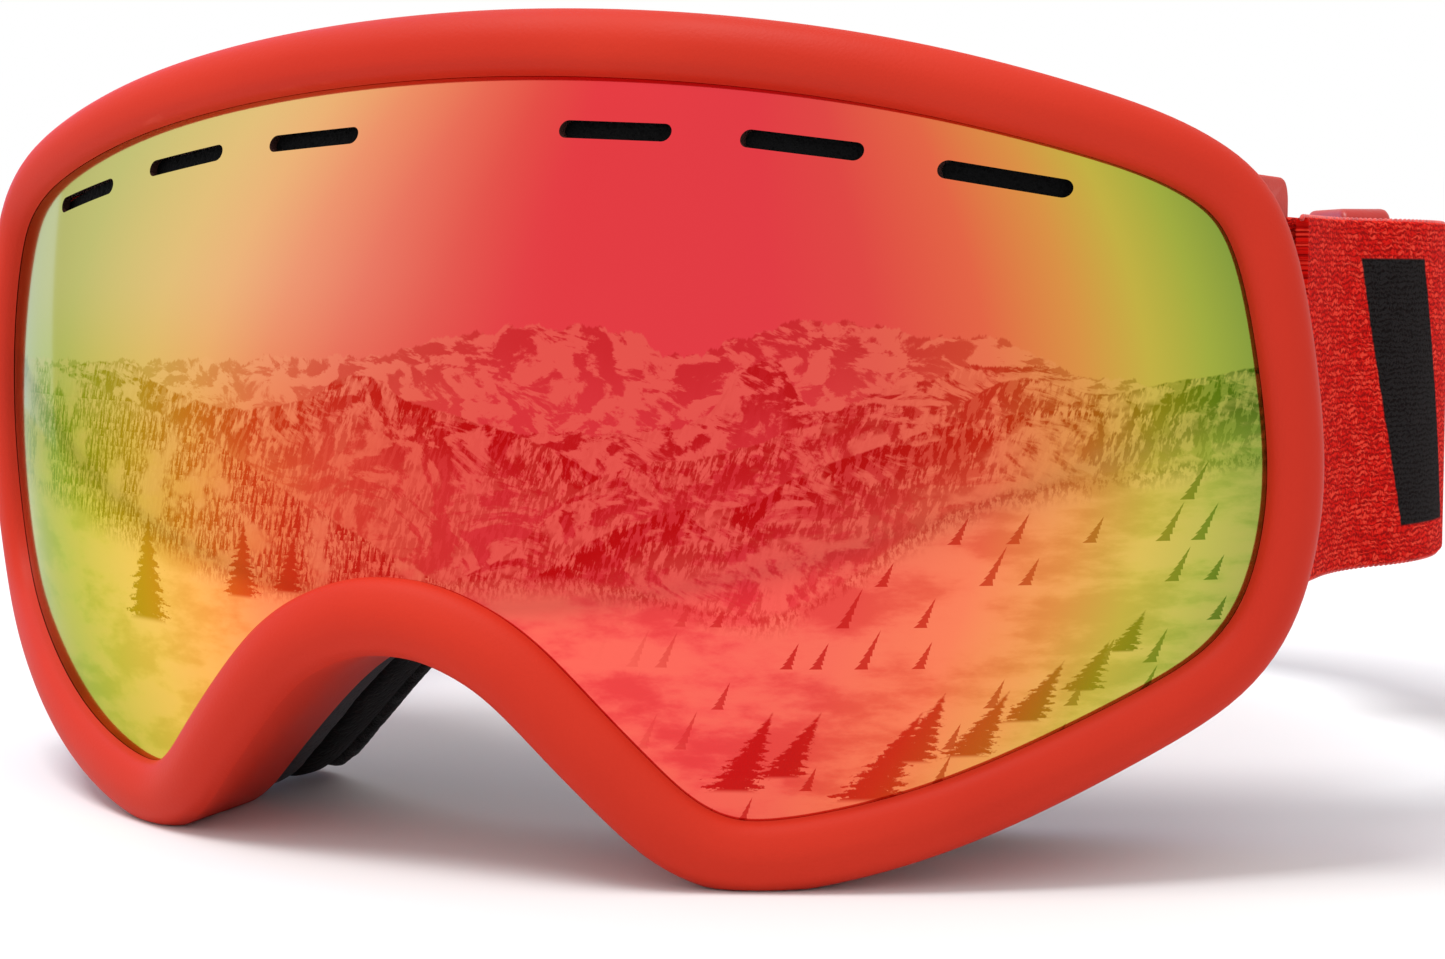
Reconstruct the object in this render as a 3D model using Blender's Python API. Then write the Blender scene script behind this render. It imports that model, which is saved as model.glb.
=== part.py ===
"""Ski goggles with a leaning bean-shaped mirror lens, a soft moulded frame, layered
face foam and an elastic head strap with two sliders.  Metres, +Z up, lens towards -Y.
The goggles stand on their two lower lobes; the origin is under the middle of their box."""

import math

import bmesh
import bpy
import numpy as np
from mathutils import Matrix, Vector

MM = 0.001
GAP = 0.3                      # running clearance between pieces that touch (mm)

# ---------------------------------------------------------------- driving dimensions (mm)
LENS_WIDTH = 166.0
LENS_HEIGHT = 76.9
ORIGIN_BACK = 84.84            # part origin behind the lens reference point
STAND_FLAT_DEPTH = 0.8         # flats cut under the two lobes
OUTLINE_STEPS = 2              # stations between two outline points

# front surface of the lens: y = BOW x^2 + WRAP x^4 + LEAN z + CROWN z^2 + TWIST x^2 z
LENS_BOW = 3.9e-3
LENS_WRAP = 1.5e-7
LENS_LEAN = 0.2312
LENS_CROWN = 4.06e-3
LENS_TWIST = -3.36e-5

# half outlines, top middle to bottom middle by the wearer's left side (x, z), drawn for this lens
DRAWN_WIDTH = 166.0
DRAWN_HEIGHT = 76.9
LENS_EDGE = [(0, 36), (24, 34.9), (46, 31.9), (64, 27.4), (75, 23), (80, 17), (82.8, 2), (83, -11),
             (79.5, -22.5), (70, -29.6), (55, -37.2), (41, -40.9), (34, -39.8), (27, -33), (17, -23),
             (8, -18.3), (0, -17.1)]
INNER_LENS_EDGE = [(0, 24.5), (22, 23.6), (42, 21), (57, 17), (67.5, 12.5), (72.5, 7.5), (76, -1.5),
                   (76.5, -11), (73.5, -19.5), (65.5, -25.8), (52.5, -32.2), (41.5, -35.3),
                   (36.5, -34.5), (30, -28), (19, -18.5), (9, -13.6), (0, -12.6)]
FRAME_BACK_EDGE = [(0, 43.5), (24, 42.3), (44, 39), (58.5, 34.5), (67.5, 29.5), (71.5, 23), (73, 8),
                   (73, -6), (71.5, -19), (66, -29.5), (55, -40), (41, -48.7), (32.5, -47),
                   (24.5, -40), (14, -30.5), (6.5, -26.3), (0, -25.2)]
FACE_OPENING_EDGE = [(0, 31), (22, 30), (39, 27), (51, 23), (58, 18.5), (61, 13), (62, 3), (61.5, -7),
                     (59, -15), (54, -22), (47, -29), (40, -32.5), (35.5, -31), (30, -25),
                     (19.5, -15.5), (9, -11.5), (0, -10.5)]

# face side of the foam: y = FACE_DEPTH + FACE_BOW x^2 + BROW_DEPTH (z + CHEEK)^2
FACE_DEPTH = 31.5
FACE_BOW = 6.2e-3
BROW_DEPTH = 2.2e-3
CHEEK = 45.0

RIM_WIDTH = 8.3                # moulded rim around the lens, at the middle
RIM_NARROWING = 1.9            # how much narrower the rim is at the sides
RIM_HEIGHT = 3.0               # rim crown in front of the lens
RIM_ROUNDING = [(0.0, 0.1), (0.02, 0.37), (0.18, 0.73), (0.42, 1.0), (0.68, 0.92), (0.88, 0.53),
                (1.0, 0.0)]    # shares of the rim's width and height
LENS_GROOVE_LIP = 1.4          # thickness of the lip behind the lens edge
LENS_GROOVE_REACH = 0.9        # how far the lip stands clear of the groove's inner wall
LENS_GROOVE_EDGE = 0.7         # groove's front edge outside the lens outline
WALL = 2.4                     # frame side wall
FLANGE_SHARE = 0.7             # how far the rear flange reaches towards the face opening
FLANGE_THICKNESS = 2.0

OUTER_LENS_THICKNESS = 1.2
INNER_LENS_THICKNESS = 0.8
LENS_INSERT = 1.5              # lens edge hidden in the frame's groove
SPACER_THICKNESS = 3.4
SPACER_WIDTH = 4.0

SLOT_LENGTH = 12.8
SLOT_WIDTH = 1.9
SLOT_ROUND_STEPS = 6           # facets of a slot's round end
SLOT_ROW_CROWN = 0.4           # the row's middle above its first slot
DRAWN_SLOT_CENTRES = [(19.2, 29.6), (39.4, 27.8), (59.3, 24.2)]
FILTER_THICKNESS = 2.0
FILTER_WIDTH = 4.6
FILTER_PAST_SLOTS = (10.0, 9.0)      # towards the middle and towards the side
FILTER_END_RISE = (0.5, -2.6)

VENT_CUT_MARGIN = 6.0          # vent cutters reach this far past the wall
TOP_VENT_CENTRES = [-44, -22.5, 0, 22.5, 44]
TOP_VENT_LENGTH = 15.0
TOP_VENT_WIDTH = 4.2
TOP_VENT_TO_BACK = 6.8         # vent middle in front of the frame's rear edge
LOWER_VENT_CENTRES = [40.0, 50.0]
LOWER_VENT_LENGTH = 7.0
LOWER_VENT_WIDTH = 5.0
LOWER_VENT_TO_BACK = 7.6
VENT_FOAM_THICKNESS = 1.6
VENT_FOAM_DEPTH = 5.4
VENT_FOAM_TO_BACK = 4.6
VENT_FOAM_TILT = 0.4           # the walls close in towards the lens
VENT_FOAM_CLEARANCE = 0.6
TOP_FOAM_REACH = {"right": (-51.0, -36.0), "middle": (-34.0, 34.0), "left": (36.0, 51.0)}
LOWER_FOAM_REACH = (38.0, 54.0)

FOAM_BASE = 6.7
FOAM_BODY = 9.0
FLEECE = 2.4
FOAM_INSET = 0.6

STRAP_WIDTH = 40.0
STRAP_THICKNESS = 1.5
STRAP_CENTRE_HEIGHT = 0.8      # above the lens reference point
WING_STAND_OFF = 4.0           # strap wing's inner face outside the frame's rear edge
WING_THICKNESS = 2.5
WING_BEHIND_LENS = 4.52        # wing starts this far behind the lens's widest point
WING_TO_BAR = 13.0
BAR_DEPTH = 4.5
WING_MARGIN = 3.6              # wing above and below the strap slot
STRAP_SLOT_DEPTH = 5.0
STRAP_SLOT_PLAY = 0.8          # slot is this much taller than the strap at each end
LOOP_OUTER_LENGTH = 14.0       # end loop behind the bar, outside and inside
LOOP_INNER_LENGTH = 9.0
LOOP_BEND = 0.7                # corner cut of the fold round the bar
STRAP_LAP = 5.5                # head strap starts this far in front of the bar's rear edge
STRAP_ROUTE = [(0, 17, 30), (8.5, 34, 32), (2.5, 64, 55), (-31, 110, 45), (-60, 124, 70)]
STRAP_STEP = 4.0
TILT_PIVOT_BEHIND_BAR = 1.5
TAIL_START = 26.0              # doubled tail, measured along the strap
TAIL_PAST_SLIDER = 19.0

SLIDER_AT = 93.4               # slider middle, measured along the strap from its front edge
SLIDER_LENGTH = 14.0
SLIDER_END_WALL = 2.6          # slider above and below the strap
SLIDER_SKIN = 1.5
SLIDER_BAR = 3.4
SLIDER_PLAY = 0.4
SLIDER_ROUNDING = 0.8


# ---------------------------------------------------------------- scene helpers
def clear_scene():
    for obj in list(bpy.data.objects):
        bpy.data.objects.remove(obj, do_unlink=True)


def new_collection(name):
    collection = bpy.data.collections.new(name)
    bpy.context.scene.collection.children.link(collection)
    return collection


def material(name, colour, roughness, metallic=0.0, alpha=1.0):
    mat = bpy.data.materials.new(name)
    mat.use_nodes = True
    shader = mat.node_tree.nodes["Principled BSDF"]
    shader.inputs["Base Color"].default_value = (*colour, 1.0)
    shader.inputs["Roughness"].default_value = roughness
    shader.inputs["Metallic"].default_value = metallic
    shader.inputs["Alpha"].default_value = alpha
    return mat


def world(point):
    """A point given from the lens reference point, in mm, as a place in the part's frame."""
    x, y, z = point
    return Vector((x, y - ORIGIN_BACK, z + LENS_CENTRE_HEIGHT)) * MM


def finish_object(name, bm, mat, origin=Vector(), parent=None):
    bmesh.ops.triangulate(bm, faces=bm.faces)
    bmesh.ops.recalc_face_normals(bm, faces=bm.faces)
    mesh = bpy.data.meshes.new(name)
    bm.to_mesh(mesh)
    bm.free()
    mesh.transform(Matrix.Translation(-origin))
    mesh.shade_smooth()
    mesh.set_sharp_from_angle(angle=math.radians(35))
    mesh.materials.append(mat)
    obj = bpy.data.objects.new(name, mesh)
    parts.objects.link(obj)
    obj.location = origin
    if parent is not None:
        obj.parent = parent
        obj.location = origin - parent.location
    return obj


def empty(name, place):
    obj = bpy.data.objects.new(name, None)
    obj.location = place
    parts.objects.link(obj)
    return obj


def add_cutter(name, bm):
    mesh = bpy.data.meshes.new(name)
    bm.to_mesh(mesh)
    bm.free()
    obj = bpy.data.objects.new(name, mesh)
    cutters.objects.link(obj)
    obj.hide_render = True
    obj.display_type = "WIRE"
    return obj


def block(low, high):
    """A box between two corners."""
    bm = bmesh.new()
    bmesh.ops.create_cube(bm, size=1.0)
    size = [b - a for a, b in zip(low, high)]
    centre = [(a + b) / 2 for a, b in zip(low, high)]
    bm.transform(Matrix.Translation(centre) @ Matrix.Diagonal((*size, 1.0)))
    return bm


def box_cutter(name, low, high):
    return add_cutter(name, block(low, high))


def boolean(obj, tool, operation):
    modifier = obj.modifiers.new(tool.name, "BOOLEAN")
    modifier.object = tool
    modifier.operation = operation
    modifier.solver = "EXACT"


def loft(rows, closed):
    """Quads between cross-sections; the ends are capped when the path is open."""
    bm = bmesh.new()
    verts = [[bm.verts.new(world(point)) for point in row] for row in rows]
    count = len(rows[0])
    last = len(rows) if closed else len(rows) - 1
    for i in range(last):
        near, far = verts[i], verts[(i + 1) % len(rows)]
        for j in range(count):
            k = (j + 1) % count
            bm.faces.new((near[j], near[k], far[k], far[j]))
    if not closed:
        bm.faces.new(verts[0])
        bm.faces.new(verts[-1])
    return bm


# ---------------------------------------------------------------- outlines and surfaces
def sized(points):
    """Drawn points at the lens's real width and height."""
    return [(x * LENS_WIDTH / DRAWN_WIDTH, z * LENS_HEIGHT / DRAWN_HEIGHT) for x, z in points]


def closed_outline(drawn):
    """Smooth closed outline through the half outline and its mirror image (Catmull-Rom)."""
    half = sized(drawn)
    mirrored = [(-x, z) for x, z in half[-2:0:-1]]
    knots = np.array(half + mirrored, float)
    count = len(knots)
    points = []
    for i in range(count):
        a, b, c, d = (knots[(i + k) % count] for k in (-1, 0, 1, 2))
        for step in range(OUTLINE_STEPS):
            t = step / OUTLINE_STEPS
            points.append(0.5 * (2 * b + (c - a) * t + (2 * a - 5 * b + 4 * c - d) * t ** 2
                                 + (3 * b - a - 3 * c + d) * t ** 3))
    return np.array(points)


def lens_y(x, z):
    return (LENS_BOW * x ** 2 + LENS_WRAP * x ** 4 + LENS_LEAN * z + LENS_CROWN * z ** 2
            + LENS_TWIST * x ** 2 * z)


def lens_normal(x, z):
    """Unit normal of the lens pointing to the front."""
    slope_x = 2 * LENS_BOW * x + 4 * LENS_WRAP * x ** 3 + 2 * LENS_TWIST * x * z
    slope_z = LENS_LEAN + 2 * LENS_CROWN * z + LENS_TWIST * x ** 2
    return Vector((slope_x, -1.0, slope_z)).normalized()


def on_lens(x, z, height=0.0):
    """A point on the lens, or height in front of it along its normal."""
    return Vector((x, lens_y(x, z), z)) + lens_normal(x, z) * height


def edge_directions(outline):
    """For each outline point on the lens: the point, outward along the lens, and the normal."""
    frames = []
    count = len(outline)
    for i, (x, z) in enumerate(outline):
        before = on_lens(*outline[i - 1])
        after = on_lens(*outline[(i + 1) % count])
        along = (after - before).normalized()
        normal = lens_normal(x, z)
        outward = normal.cross(along).normalized()
        frames.append((on_lens(x, z), outward, normal))
    return frames


def face_y(x, z):
    return FACE_DEPTH + FACE_BOW * x ** 2 + BROW_DEPTH * (z + CHEEK) ** 2


def frame_back_y(x, z):
    return face_y(x, z) - FOAM_BASE - FOAM_BODY - FLEECE - 3 * GAP


def blend(a, b, share):
    return a + (b - a) * share


def inset(outline, distance):
    """Moves a flat outline inwards by a distance along its own normals."""
    ahead = np.roll(outline, -1, axis=0)
    behind = np.roll(outline, 1, axis=0)
    along = ahead - behind
    along /= np.linalg.norm(along, axis=1)[:, None]
    inwards = np.stack([along[:, 1], -along[:, 0]], axis=1)
    return outline + inwards * distance


# ---------------------------------------------------------------- pieces
def rim_width(x):
    return RIM_WIDTH - RIM_NARROWING * (2 * x / LENS_WIDTH) ** 2


def frame_section(point, outward, normal, back, flange, wall_back):
    """Cross-section of the frame: rounded rim, side wall, rear flange and lens groove."""
    width = rim_width(point.x)
    groove = LENS_INSERT + GAP
    rim = [(u * width, v * RIM_HEIGHT) for u, v in RIM_ROUNDING]
    behind_lens = -OUTER_LENS_THICKNESS - GAP
    lip = behind_lens - LENS_GROOVE_LIP
    seat = [(groove + LENS_GROOVE_REACH, lip), (LENS_GROOVE_EDGE, lip), (LENS_GROOVE_EDGE, behind_lens),
            (groove, behind_lens), (groove, GAP)]
    front = [point + outward * u + normal * v for u, v in rim]
    inside = [point + outward * u + normal * v for u, v in seat]
    rear_y = frame_back_y(*back)
    rear_edge = Vector((back[0], rear_y, back[1]))
    flange_y = frame_back_y(*flange)
    rear = [front[-1].lerp(rear_edge, 0.5), rear_edge,
            Vector((flange[0], flange_y, flange[1])),
            Vector((flange[0], flange_y - FLANGE_THICKNESS, flange[1])),
            Vector((wall_back[0], rear_y - FLANGE_THICKNESS, wall_back[1]))]
    return front + rear + inside


def make_frame():
    back = FRAME_BACK
    flange = blend(back, FACE_OPENING, FLANGE_SHARE)
    wall_back = inset(back, WALL)
    rows = [frame_section(*directions, back[i], flange[i], wall_back[i])
            for i, directions in enumerate(edge_directions(LENS))]
    frame = finish_object("frame", loft(rows, True), RUBBER)
    for side, sign in (("left", 1), ("right", -1)):
        add_strap_wing(frame, side, sign)
    for number, x in enumerate(TOP_VENT_CENTRES):
        top = frame_top(x)
        middle = frame_back_y(x, top) - TOP_VENT_TO_BACK
        half = TOP_VENT_LENGTH / 2
        low = world((x - half, middle - TOP_VENT_WIDTH / 2, top - WALL - VENT_CUT_MARGIN))
        high = world((x + half, middle + TOP_VENT_WIDTH / 2, top + VENT_CUT_MARGIN))
        boolean(frame, box_cutter(f"top_vent_{number}", low, high), "DIFFERENCE")
    for x in LOWER_VENT_CENTRES:
        for side, sign in (("left", 1), ("right", -1)):
            bottom = frame_bottom(x)
            middle = frame_back_y(x, bottom) - LOWER_VENT_TO_BACK
            half = LOWER_VENT_LENGTH / 2
            front, back_edge = middle - LOWER_VENT_WIDTH / 2, middle + LOWER_VENT_WIDTH / 2
            low = world((sign * x - half, front, bottom - VENT_CUT_MARGIN))
            high = world((sign * x + half, back_edge, bottom + WALL + VENT_CUT_MARGIN))
            boolean(frame, box_cutter(f"lower_vent_{side}_{x:.0f}", low, high), "DIFFERENCE")
    return frame


def frame_top(x):
    """Height of the frame's rear edge at the brow."""
    half = FRAME_BACK[:len(FRAME_BACK) // 4]
    return float(np.interp(abs(x), half[:, 0], half[:, 1]))


def frame_bottom(x):
    """Height of the frame's rear edge under a lobe."""
    start, end = 9 * OUTLINE_STEPS, 13 * OUTLINE_STEPS
    run = FRAME_BACK[start:end][::-1]
    return float(np.interp(abs(x), run[:, 0], run[:, 1]))


def stand_flat(*pieces):
    """Cuts small flats under the lobes, where the goggles stand on a table."""
    reach = LENS_WIDTH
    below = box_cutter("table", world((-reach, -reach, -LENS_CENTRE_HEIGHT - reach)),
                       world((reach, reach, -LENS_CENTRE_HEIGHT)))
    for piece in pieces:
        boolean(piece, below, "DIFFERENCE")


def add_strap_wing(frame, side, sign):
    """A flat wing behind the rim's side with a slot that leaves a bar for the strap."""
    half = STRAP_WIDTH / 2 + STRAP_SLOT_PLAY
    outer_half = half + WING_MARGIN
    xs = sorted((sign * WING_X, sign * (WING_X + WING_THICKNESS)))
    low = world((xs[0], WING_FRONT, STRAP_CENTRE_HEIGHT - outer_half))
    high = world((xs[1], BAR_FRONT + BAR_DEPTH, STRAP_CENTRE_HEIGHT + outer_half))
    boolean(frame, box_cutter(f"wing_{side}", low, high), "UNION")
    low = world((xs[0] - GAP, BAR_FRONT - STRAP_SLOT_DEPTH, STRAP_CENTRE_HEIGHT - half))
    high = world((xs[1] + GAP, BAR_FRONT, STRAP_CENTRE_HEIGHT + half))
    boolean(frame, box_cutter(f"strap_slot_{side}", low, high), "DIFFERENCE")


def lens_shell(name, outline, overhang, front_height, thickness, rows, mat):
    """A lens between two parallel surfaces, as a ladder of rungs from its top to its bottom edge."""
    count = len(outline)
    half = count // 2
    edge = [Vector((x, 0, z)) for x, z in outline]
    if overhang:
        edge = [point + outward * overhang for point, outward, _ in edge_directions(outline)]
    quarter = half // 2
    columns = []
    for i in range(-quarter, quarter + 1):
        top = edge[i % count]
        bottom = edge[(half - i) % count]
        columns.append((top, bottom))
    bm = bmesh.new()
    layers = []
    for height in (front_height, front_height - thickness):
        grid = []
        for number, (top, bottom) in enumerate(columns):
            steps = rows if 0 < number < len(columns) - 1 else 0
            column = []
            for step in range(steps + 1):
                share = step / steps if steps else 0.0
                x = blend(top.x, bottom.x, share)
                z = blend(top.z, bottom.z, share)
                column.append(bm.verts.new(world(on_lens(x, z, height))))
            grid.append(column)
        layers.append(grid)
    front, back = layers
    for grid in layers:
        for left, right in zip(grid, grid[1:]):
            for step in range(rows):
                corners = []
                for column, row in ((left, step), (right, step), (right, step + 1), (left, step + 1)):
                    vert = column[min(row, len(column) - 1)]
                    if vert not in corners:
                        corners.append(vert)
                bm.faces.new(corners)
    for index in range(len(columns) - 1):
        for end in (0, -1):
            bm.faces.new((front[index][end], front[index + 1][end],
                          back[index + 1][end], back[index][end]))
    return finish_object(name, bm, mat)


def pill_cutter(name, x, z, tilt, length, width):
    """A round-ended slot cutter that runs through the lens along Y."""
    radius = width / 2
    straight = (length - width) / 2
    outline = []
    for end in (1, -1):
        for step in range(SLOT_ROUND_STEPS + 1):
            angle = math.pi * step / SLOT_ROUND_STEPS - math.pi / 2 + (0 if end > 0 else math.pi)
            outline.append((end * straight + radius * math.cos(angle), radius * math.sin(angle)))
    bm = bmesh.new()
    turned = [(x + a * math.cos(tilt) - b * math.sin(tilt), z + a * math.sin(tilt) + b * math.cos(tilt))
              for a, b in outline]
    front = lens_y(x, z) - length / 2
    face = bm.faces.new([bm.verts.new(world((a, front, b))) for a, b in turned])
    made = bmesh.ops.extrude_face_region(bm, geom=[face])
    moved = [item for item in made["geom"] if isinstance(item, bmesh.types.BMVert)]
    bmesh.ops.translate(bm, verts=moved, vec=(0, length * MM, 0))
    bmesh.ops.recalc_face_normals(bm, faces=bm.faces)
    return add_cutter(name, bm)


def slot_tilt(index):
    """The slots follow the row through their own centres, which falls towards the sides."""
    points = [(0, SLOT_CENTRES[0][1] + SLOT_ROW_CROWN)] + SLOT_CENTRES
    (x0, z0), (x1, z1) = points[index], points[min(index + 2, len(points) - 1)]
    return math.atan2(z1 - z0, x1 - x0)


def make_outer_lens():
    lens = lens_shell("outer_lens", LENS, LENS_INSERT, 0.0, OUTER_LENS_THICKNESS, 8, MIRROR)
    for index, (x, z) in enumerate(SLOT_CENTRES):
        for side, sign in (("left", 1), ("right", -1)):
            cutter = pill_cutter(f"slot_{side}_{index}", sign * x, z, sign * slot_tilt(index),
                                 SLOT_LENGTH, SLOT_WIDTH)
            boolean(lens, cutter, "DIFFERENCE")
    return lens


def slab_ring(name, outer, inner, front, back, mat):
    """A closed foam ring between two flat outlines and two depth rules."""
    rows = [[(a[0], front(*a), a[1]), (a[0], back(*a), a[1]),
             (b[0], back(*b), b[1]), (b[0], front(*b), b[1])] for a, b in zip(outer, inner)]
    return finish_object(name, loft(rows, True), mat)


def make_spacer():
    """Foam gasket that holds the inner lens behind the outer one."""
    front = -OUTER_LENS_THICKNESS - GAP
    rows = []
    for point, outward, normal in edge_directions(INNER_LENS):
        inner = point - outward * SPACER_WIDTH
        rows.append([point + normal * front, point + normal * (front - SPACER_THICKNESS),
                     inner + normal * (front - SPACER_THICKNESS), inner + normal * front])
    return finish_object("lens_spacer", loft(rows, True), SPACER_FOAM)


def make_slot_filters():
    """A foam strip behind each row of three slots."""
    front = -OUTER_LENS_THICKNESS - GAP
    (first_x, first_z), (last_x, last_z) = SLOT_CENTRES[0], SLOT_CENTRES[-1]
    line = [(first_x - FILTER_PAST_SLOTS[0], first_z + FILTER_END_RISE[0]), *SLOT_CENTRES,
            (last_x + FILTER_PAST_SLOTS[1], last_z + FILTER_END_RISE[1])]
    xs = np.linspace(line[0][0], line[-1][0], 12)
    centre = np.interp(xs, [x for x, _ in line], [z for _, z in line])
    for side, sign in (("left", 1), ("right", -1)):
        rows = []
        for x, z in zip(xs * sign, centre):
            rows.append([on_lens(x, z + FILTER_WIDTH / 2, front), on_lens(x, z - FILTER_WIDTH / 2, front),
                         on_lens(x, z - FILTER_WIDTH / 2, front - FILTER_THICKNESS),
                         on_lens(x, z + FILTER_WIDTH / 2, front - FILTER_THICKNESS)])
        finish_object(f"slot_filter_{side}", loft(rows, False), FILTER_FOAM)


def vent_foam(name, xs, wall_height, up):
    """A foam strip against the inner side of the brow wall (up = 1) or cheek wall (up = -1)."""
    rows = []
    for x in xs:
        edge = wall_height(x)
        back = frame_back_y(x, edge) - VENT_FOAM_TO_BACK
        sink = WALL + VENT_FOAM_CLEARANCE + VENT_FOAM_TILT * (VENT_FOAM_TO_BACK - FLANGE_THICKNESS)
        rear = edge - up * sink
        front = rear - up * VENT_FOAM_TILT * VENT_FOAM_DEPTH
        rows.append([(x, back - VENT_FOAM_DEPTH, front), (x, back, rear),
                     (x, back, rear - up * VENT_FOAM_THICKNESS),
                     (x, back - VENT_FOAM_DEPTH, front - up * VENT_FOAM_THICKNESS)])
    finish_object(name, loft(rows, False), FILTER_FOAM)


def make_vent_foams():
    """Foam strips glued inside the frame's brow and cheek walls, behind the vents."""
    for place, (start, end) in TOP_FOAM_REACH.items():
        vent_foam(f"top_vent_foam_{place}", np.linspace(start, end, 9), frame_top, 1)
    for side, sign in (("left", 1), ("right", -1)):
        vent_foam(f"lower_vent_foam_{side}", np.linspace(*LOWER_FOAM_REACH, 7) * sign, frame_bottom, -1)


def make_face_foam():
    """Three glued layers: grey base foam, black body foam and the fleece against the face."""
    outer = inset(FRAME_BACK, FOAM_INSET)
    inner = FACE_OPENING
    start = 0.0
    layers = []
    for name, thickness, mat in (("face_foam_base", FOAM_BASE, GREY_FOAM),
                                 ("face_foam", FOAM_BODY, BLACK_FOAM),
                                 ("face_fleece", FLEECE, FLEECE_CLOTH)):
        low = start + GAP
        high = low + thickness
        layers.append(slab_ring(name, outer, inner,
                                lambda x, z, depth=low: frame_back_y(x, z) + depth,
                                lambda x, z, depth=high: frame_back_y(x, z) + depth, mat))
        start = high
    return layers


def rounded_route(corners):
    """A route in plan of straight runs joined by arcs; corners are (x, y, radius)."""
    route = [Vector(corners[0][:2])]
    for i in range(1, len(corners) - 1):
        before, corner, after = (Vector(corners[i + k][:2]) for k in (-1, 0, 1))
        radius = corners[i][2]
        to_before = (before - corner).normalized()
        to_after = (after - corner).normalized()
        half_turn = (math.pi - to_before.angle(to_after)) / 2
        reach = radius * math.tan(half_turn)
        start = corner + to_before * reach
        end = corner + to_after * reach
        centre = corner + (to_before + to_after).normalized() * (radius / math.cos(half_turn))
        steps = max(2, round(radius * 2 * half_turn / STRAP_STEP))
        first, last = start - centre, end - centre
        turn = first.angle_signed(last)
        for step in range(steps + 1):
            angle = -turn * step / steps
            route.append(centre + Matrix.Rotation(angle, 2) @ first)
    route.append(Vector(corners[-1][:2]))
    return route


def strap_half_route():
    """Middle of the head strap on the wearer's left, from its front edge to the rear middle."""
    x0 = WING_X + WING_THICKNESS + 2 * GAP + STRAP_THICKNESS * 1.5
    y0 = BAR_FRONT + BAR_DEPTH - STRAP_LAP
    corners = [(x0, y0, 0)] + [(x0 + dx, y0 + dy, radius) for dx, dy, radius in STRAP_ROUTE]
    corners.append((0, corners[-1][1], 0))
    return rounded_route(corners)


def route_normals(route):
    normals = []
    for i in range(len(route)):
        along = route[min(i + 1, len(route) - 1)] - route[max(i - 1, 0)]
        normals.append(Vector((along.y, -along.x)).normalized())
    return normals


def webbing(name, route, offset, mat, origin, parent=None):
    """Flat webbing standing on edge along a route in plan."""
    low = STRAP_CENTRE_HEIGHT - STRAP_WIDTH / 2
    high = STRAP_CENTRE_HEIGHT + STRAP_WIDTH / 2
    rows = []
    for point, normal in zip(route, route_normals(route)):
        outside = point + normal * (offset + STRAP_THICKNESS / 2)
        inside = point + normal * (offset - STRAP_THICKNESS / 2)
        rows.append([(*outside, low), (*outside, high), (*inside, high), (*inside, low)])
    return finish_object(name, loft(rows, False), mat, origin, parent)


def along_route(route, distance):
    """The place and direction a given distance along a route."""
    for a, b in zip(route, route[1:]):
        step = (b - a).length
        if distance <= step:
            return a.lerp(b, distance / step), (b - a).normalized()
        distance -= step
    return route[-1], (route[-1] - route[-2]).normalized()


def make_end_loops():
    """Webbing folded round each frame bar, open towards the rear."""
    middle_x = WING_X + WING_THICKNESS / 2
    half = WING_THICKNESS / 2 + GAP + STRAP_THICKNESS / 2
    front_y = BAR_FRONT - GAP - STRAP_THICKNESS / 2
    rear = BAR_FRONT + BAR_DEPTH
    for side, sign in (("left", 1), ("right", -1)):
        plan = [(middle_x + half, rear + LOOP_OUTER_LENGTH), (middle_x + half, front_y + LOOP_BEND),
                (middle_x + half - LOOP_BEND, front_y), (middle_x - half + LOOP_BEND, front_y),
                (middle_x - half, front_y + LOOP_BEND), (middle_x - half, rear + LOOP_INNER_LENGTH)]
        route = [Vector((sign * x, y)) for x, y in plan]
        webbing(f"strap_end_loop_{side}", route, 0.0, WEBBING, Vector())


def mirrored_route(half):
    return half + [Vector((-point.x, point.y)) for point in half[-2::-1]]


def make_strap(pivot):
    half = strap_half_route()
    webbing("head_strap", mirrored_route(half), 0.0, WEBBING, pivot.location, pivot)
    end = SLIDER_AT + TAIL_PAST_SLIDER
    stations = np.linspace(TAIL_START, end, round((end - TAIL_START) / STRAP_STEP) + 1)
    tail = [along_route(half, distance)[0] for distance in stations]
    for side, sign in (("left", 1), ("right", -1)):
        route = [Vector((sign * point.x, point.y)) for point in tail]
        webbing(f"strap_tail_{side}", route, -sign * (STRAP_THICKNESS + GAP), WEBBING,
                pivot.location, pivot)


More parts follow.
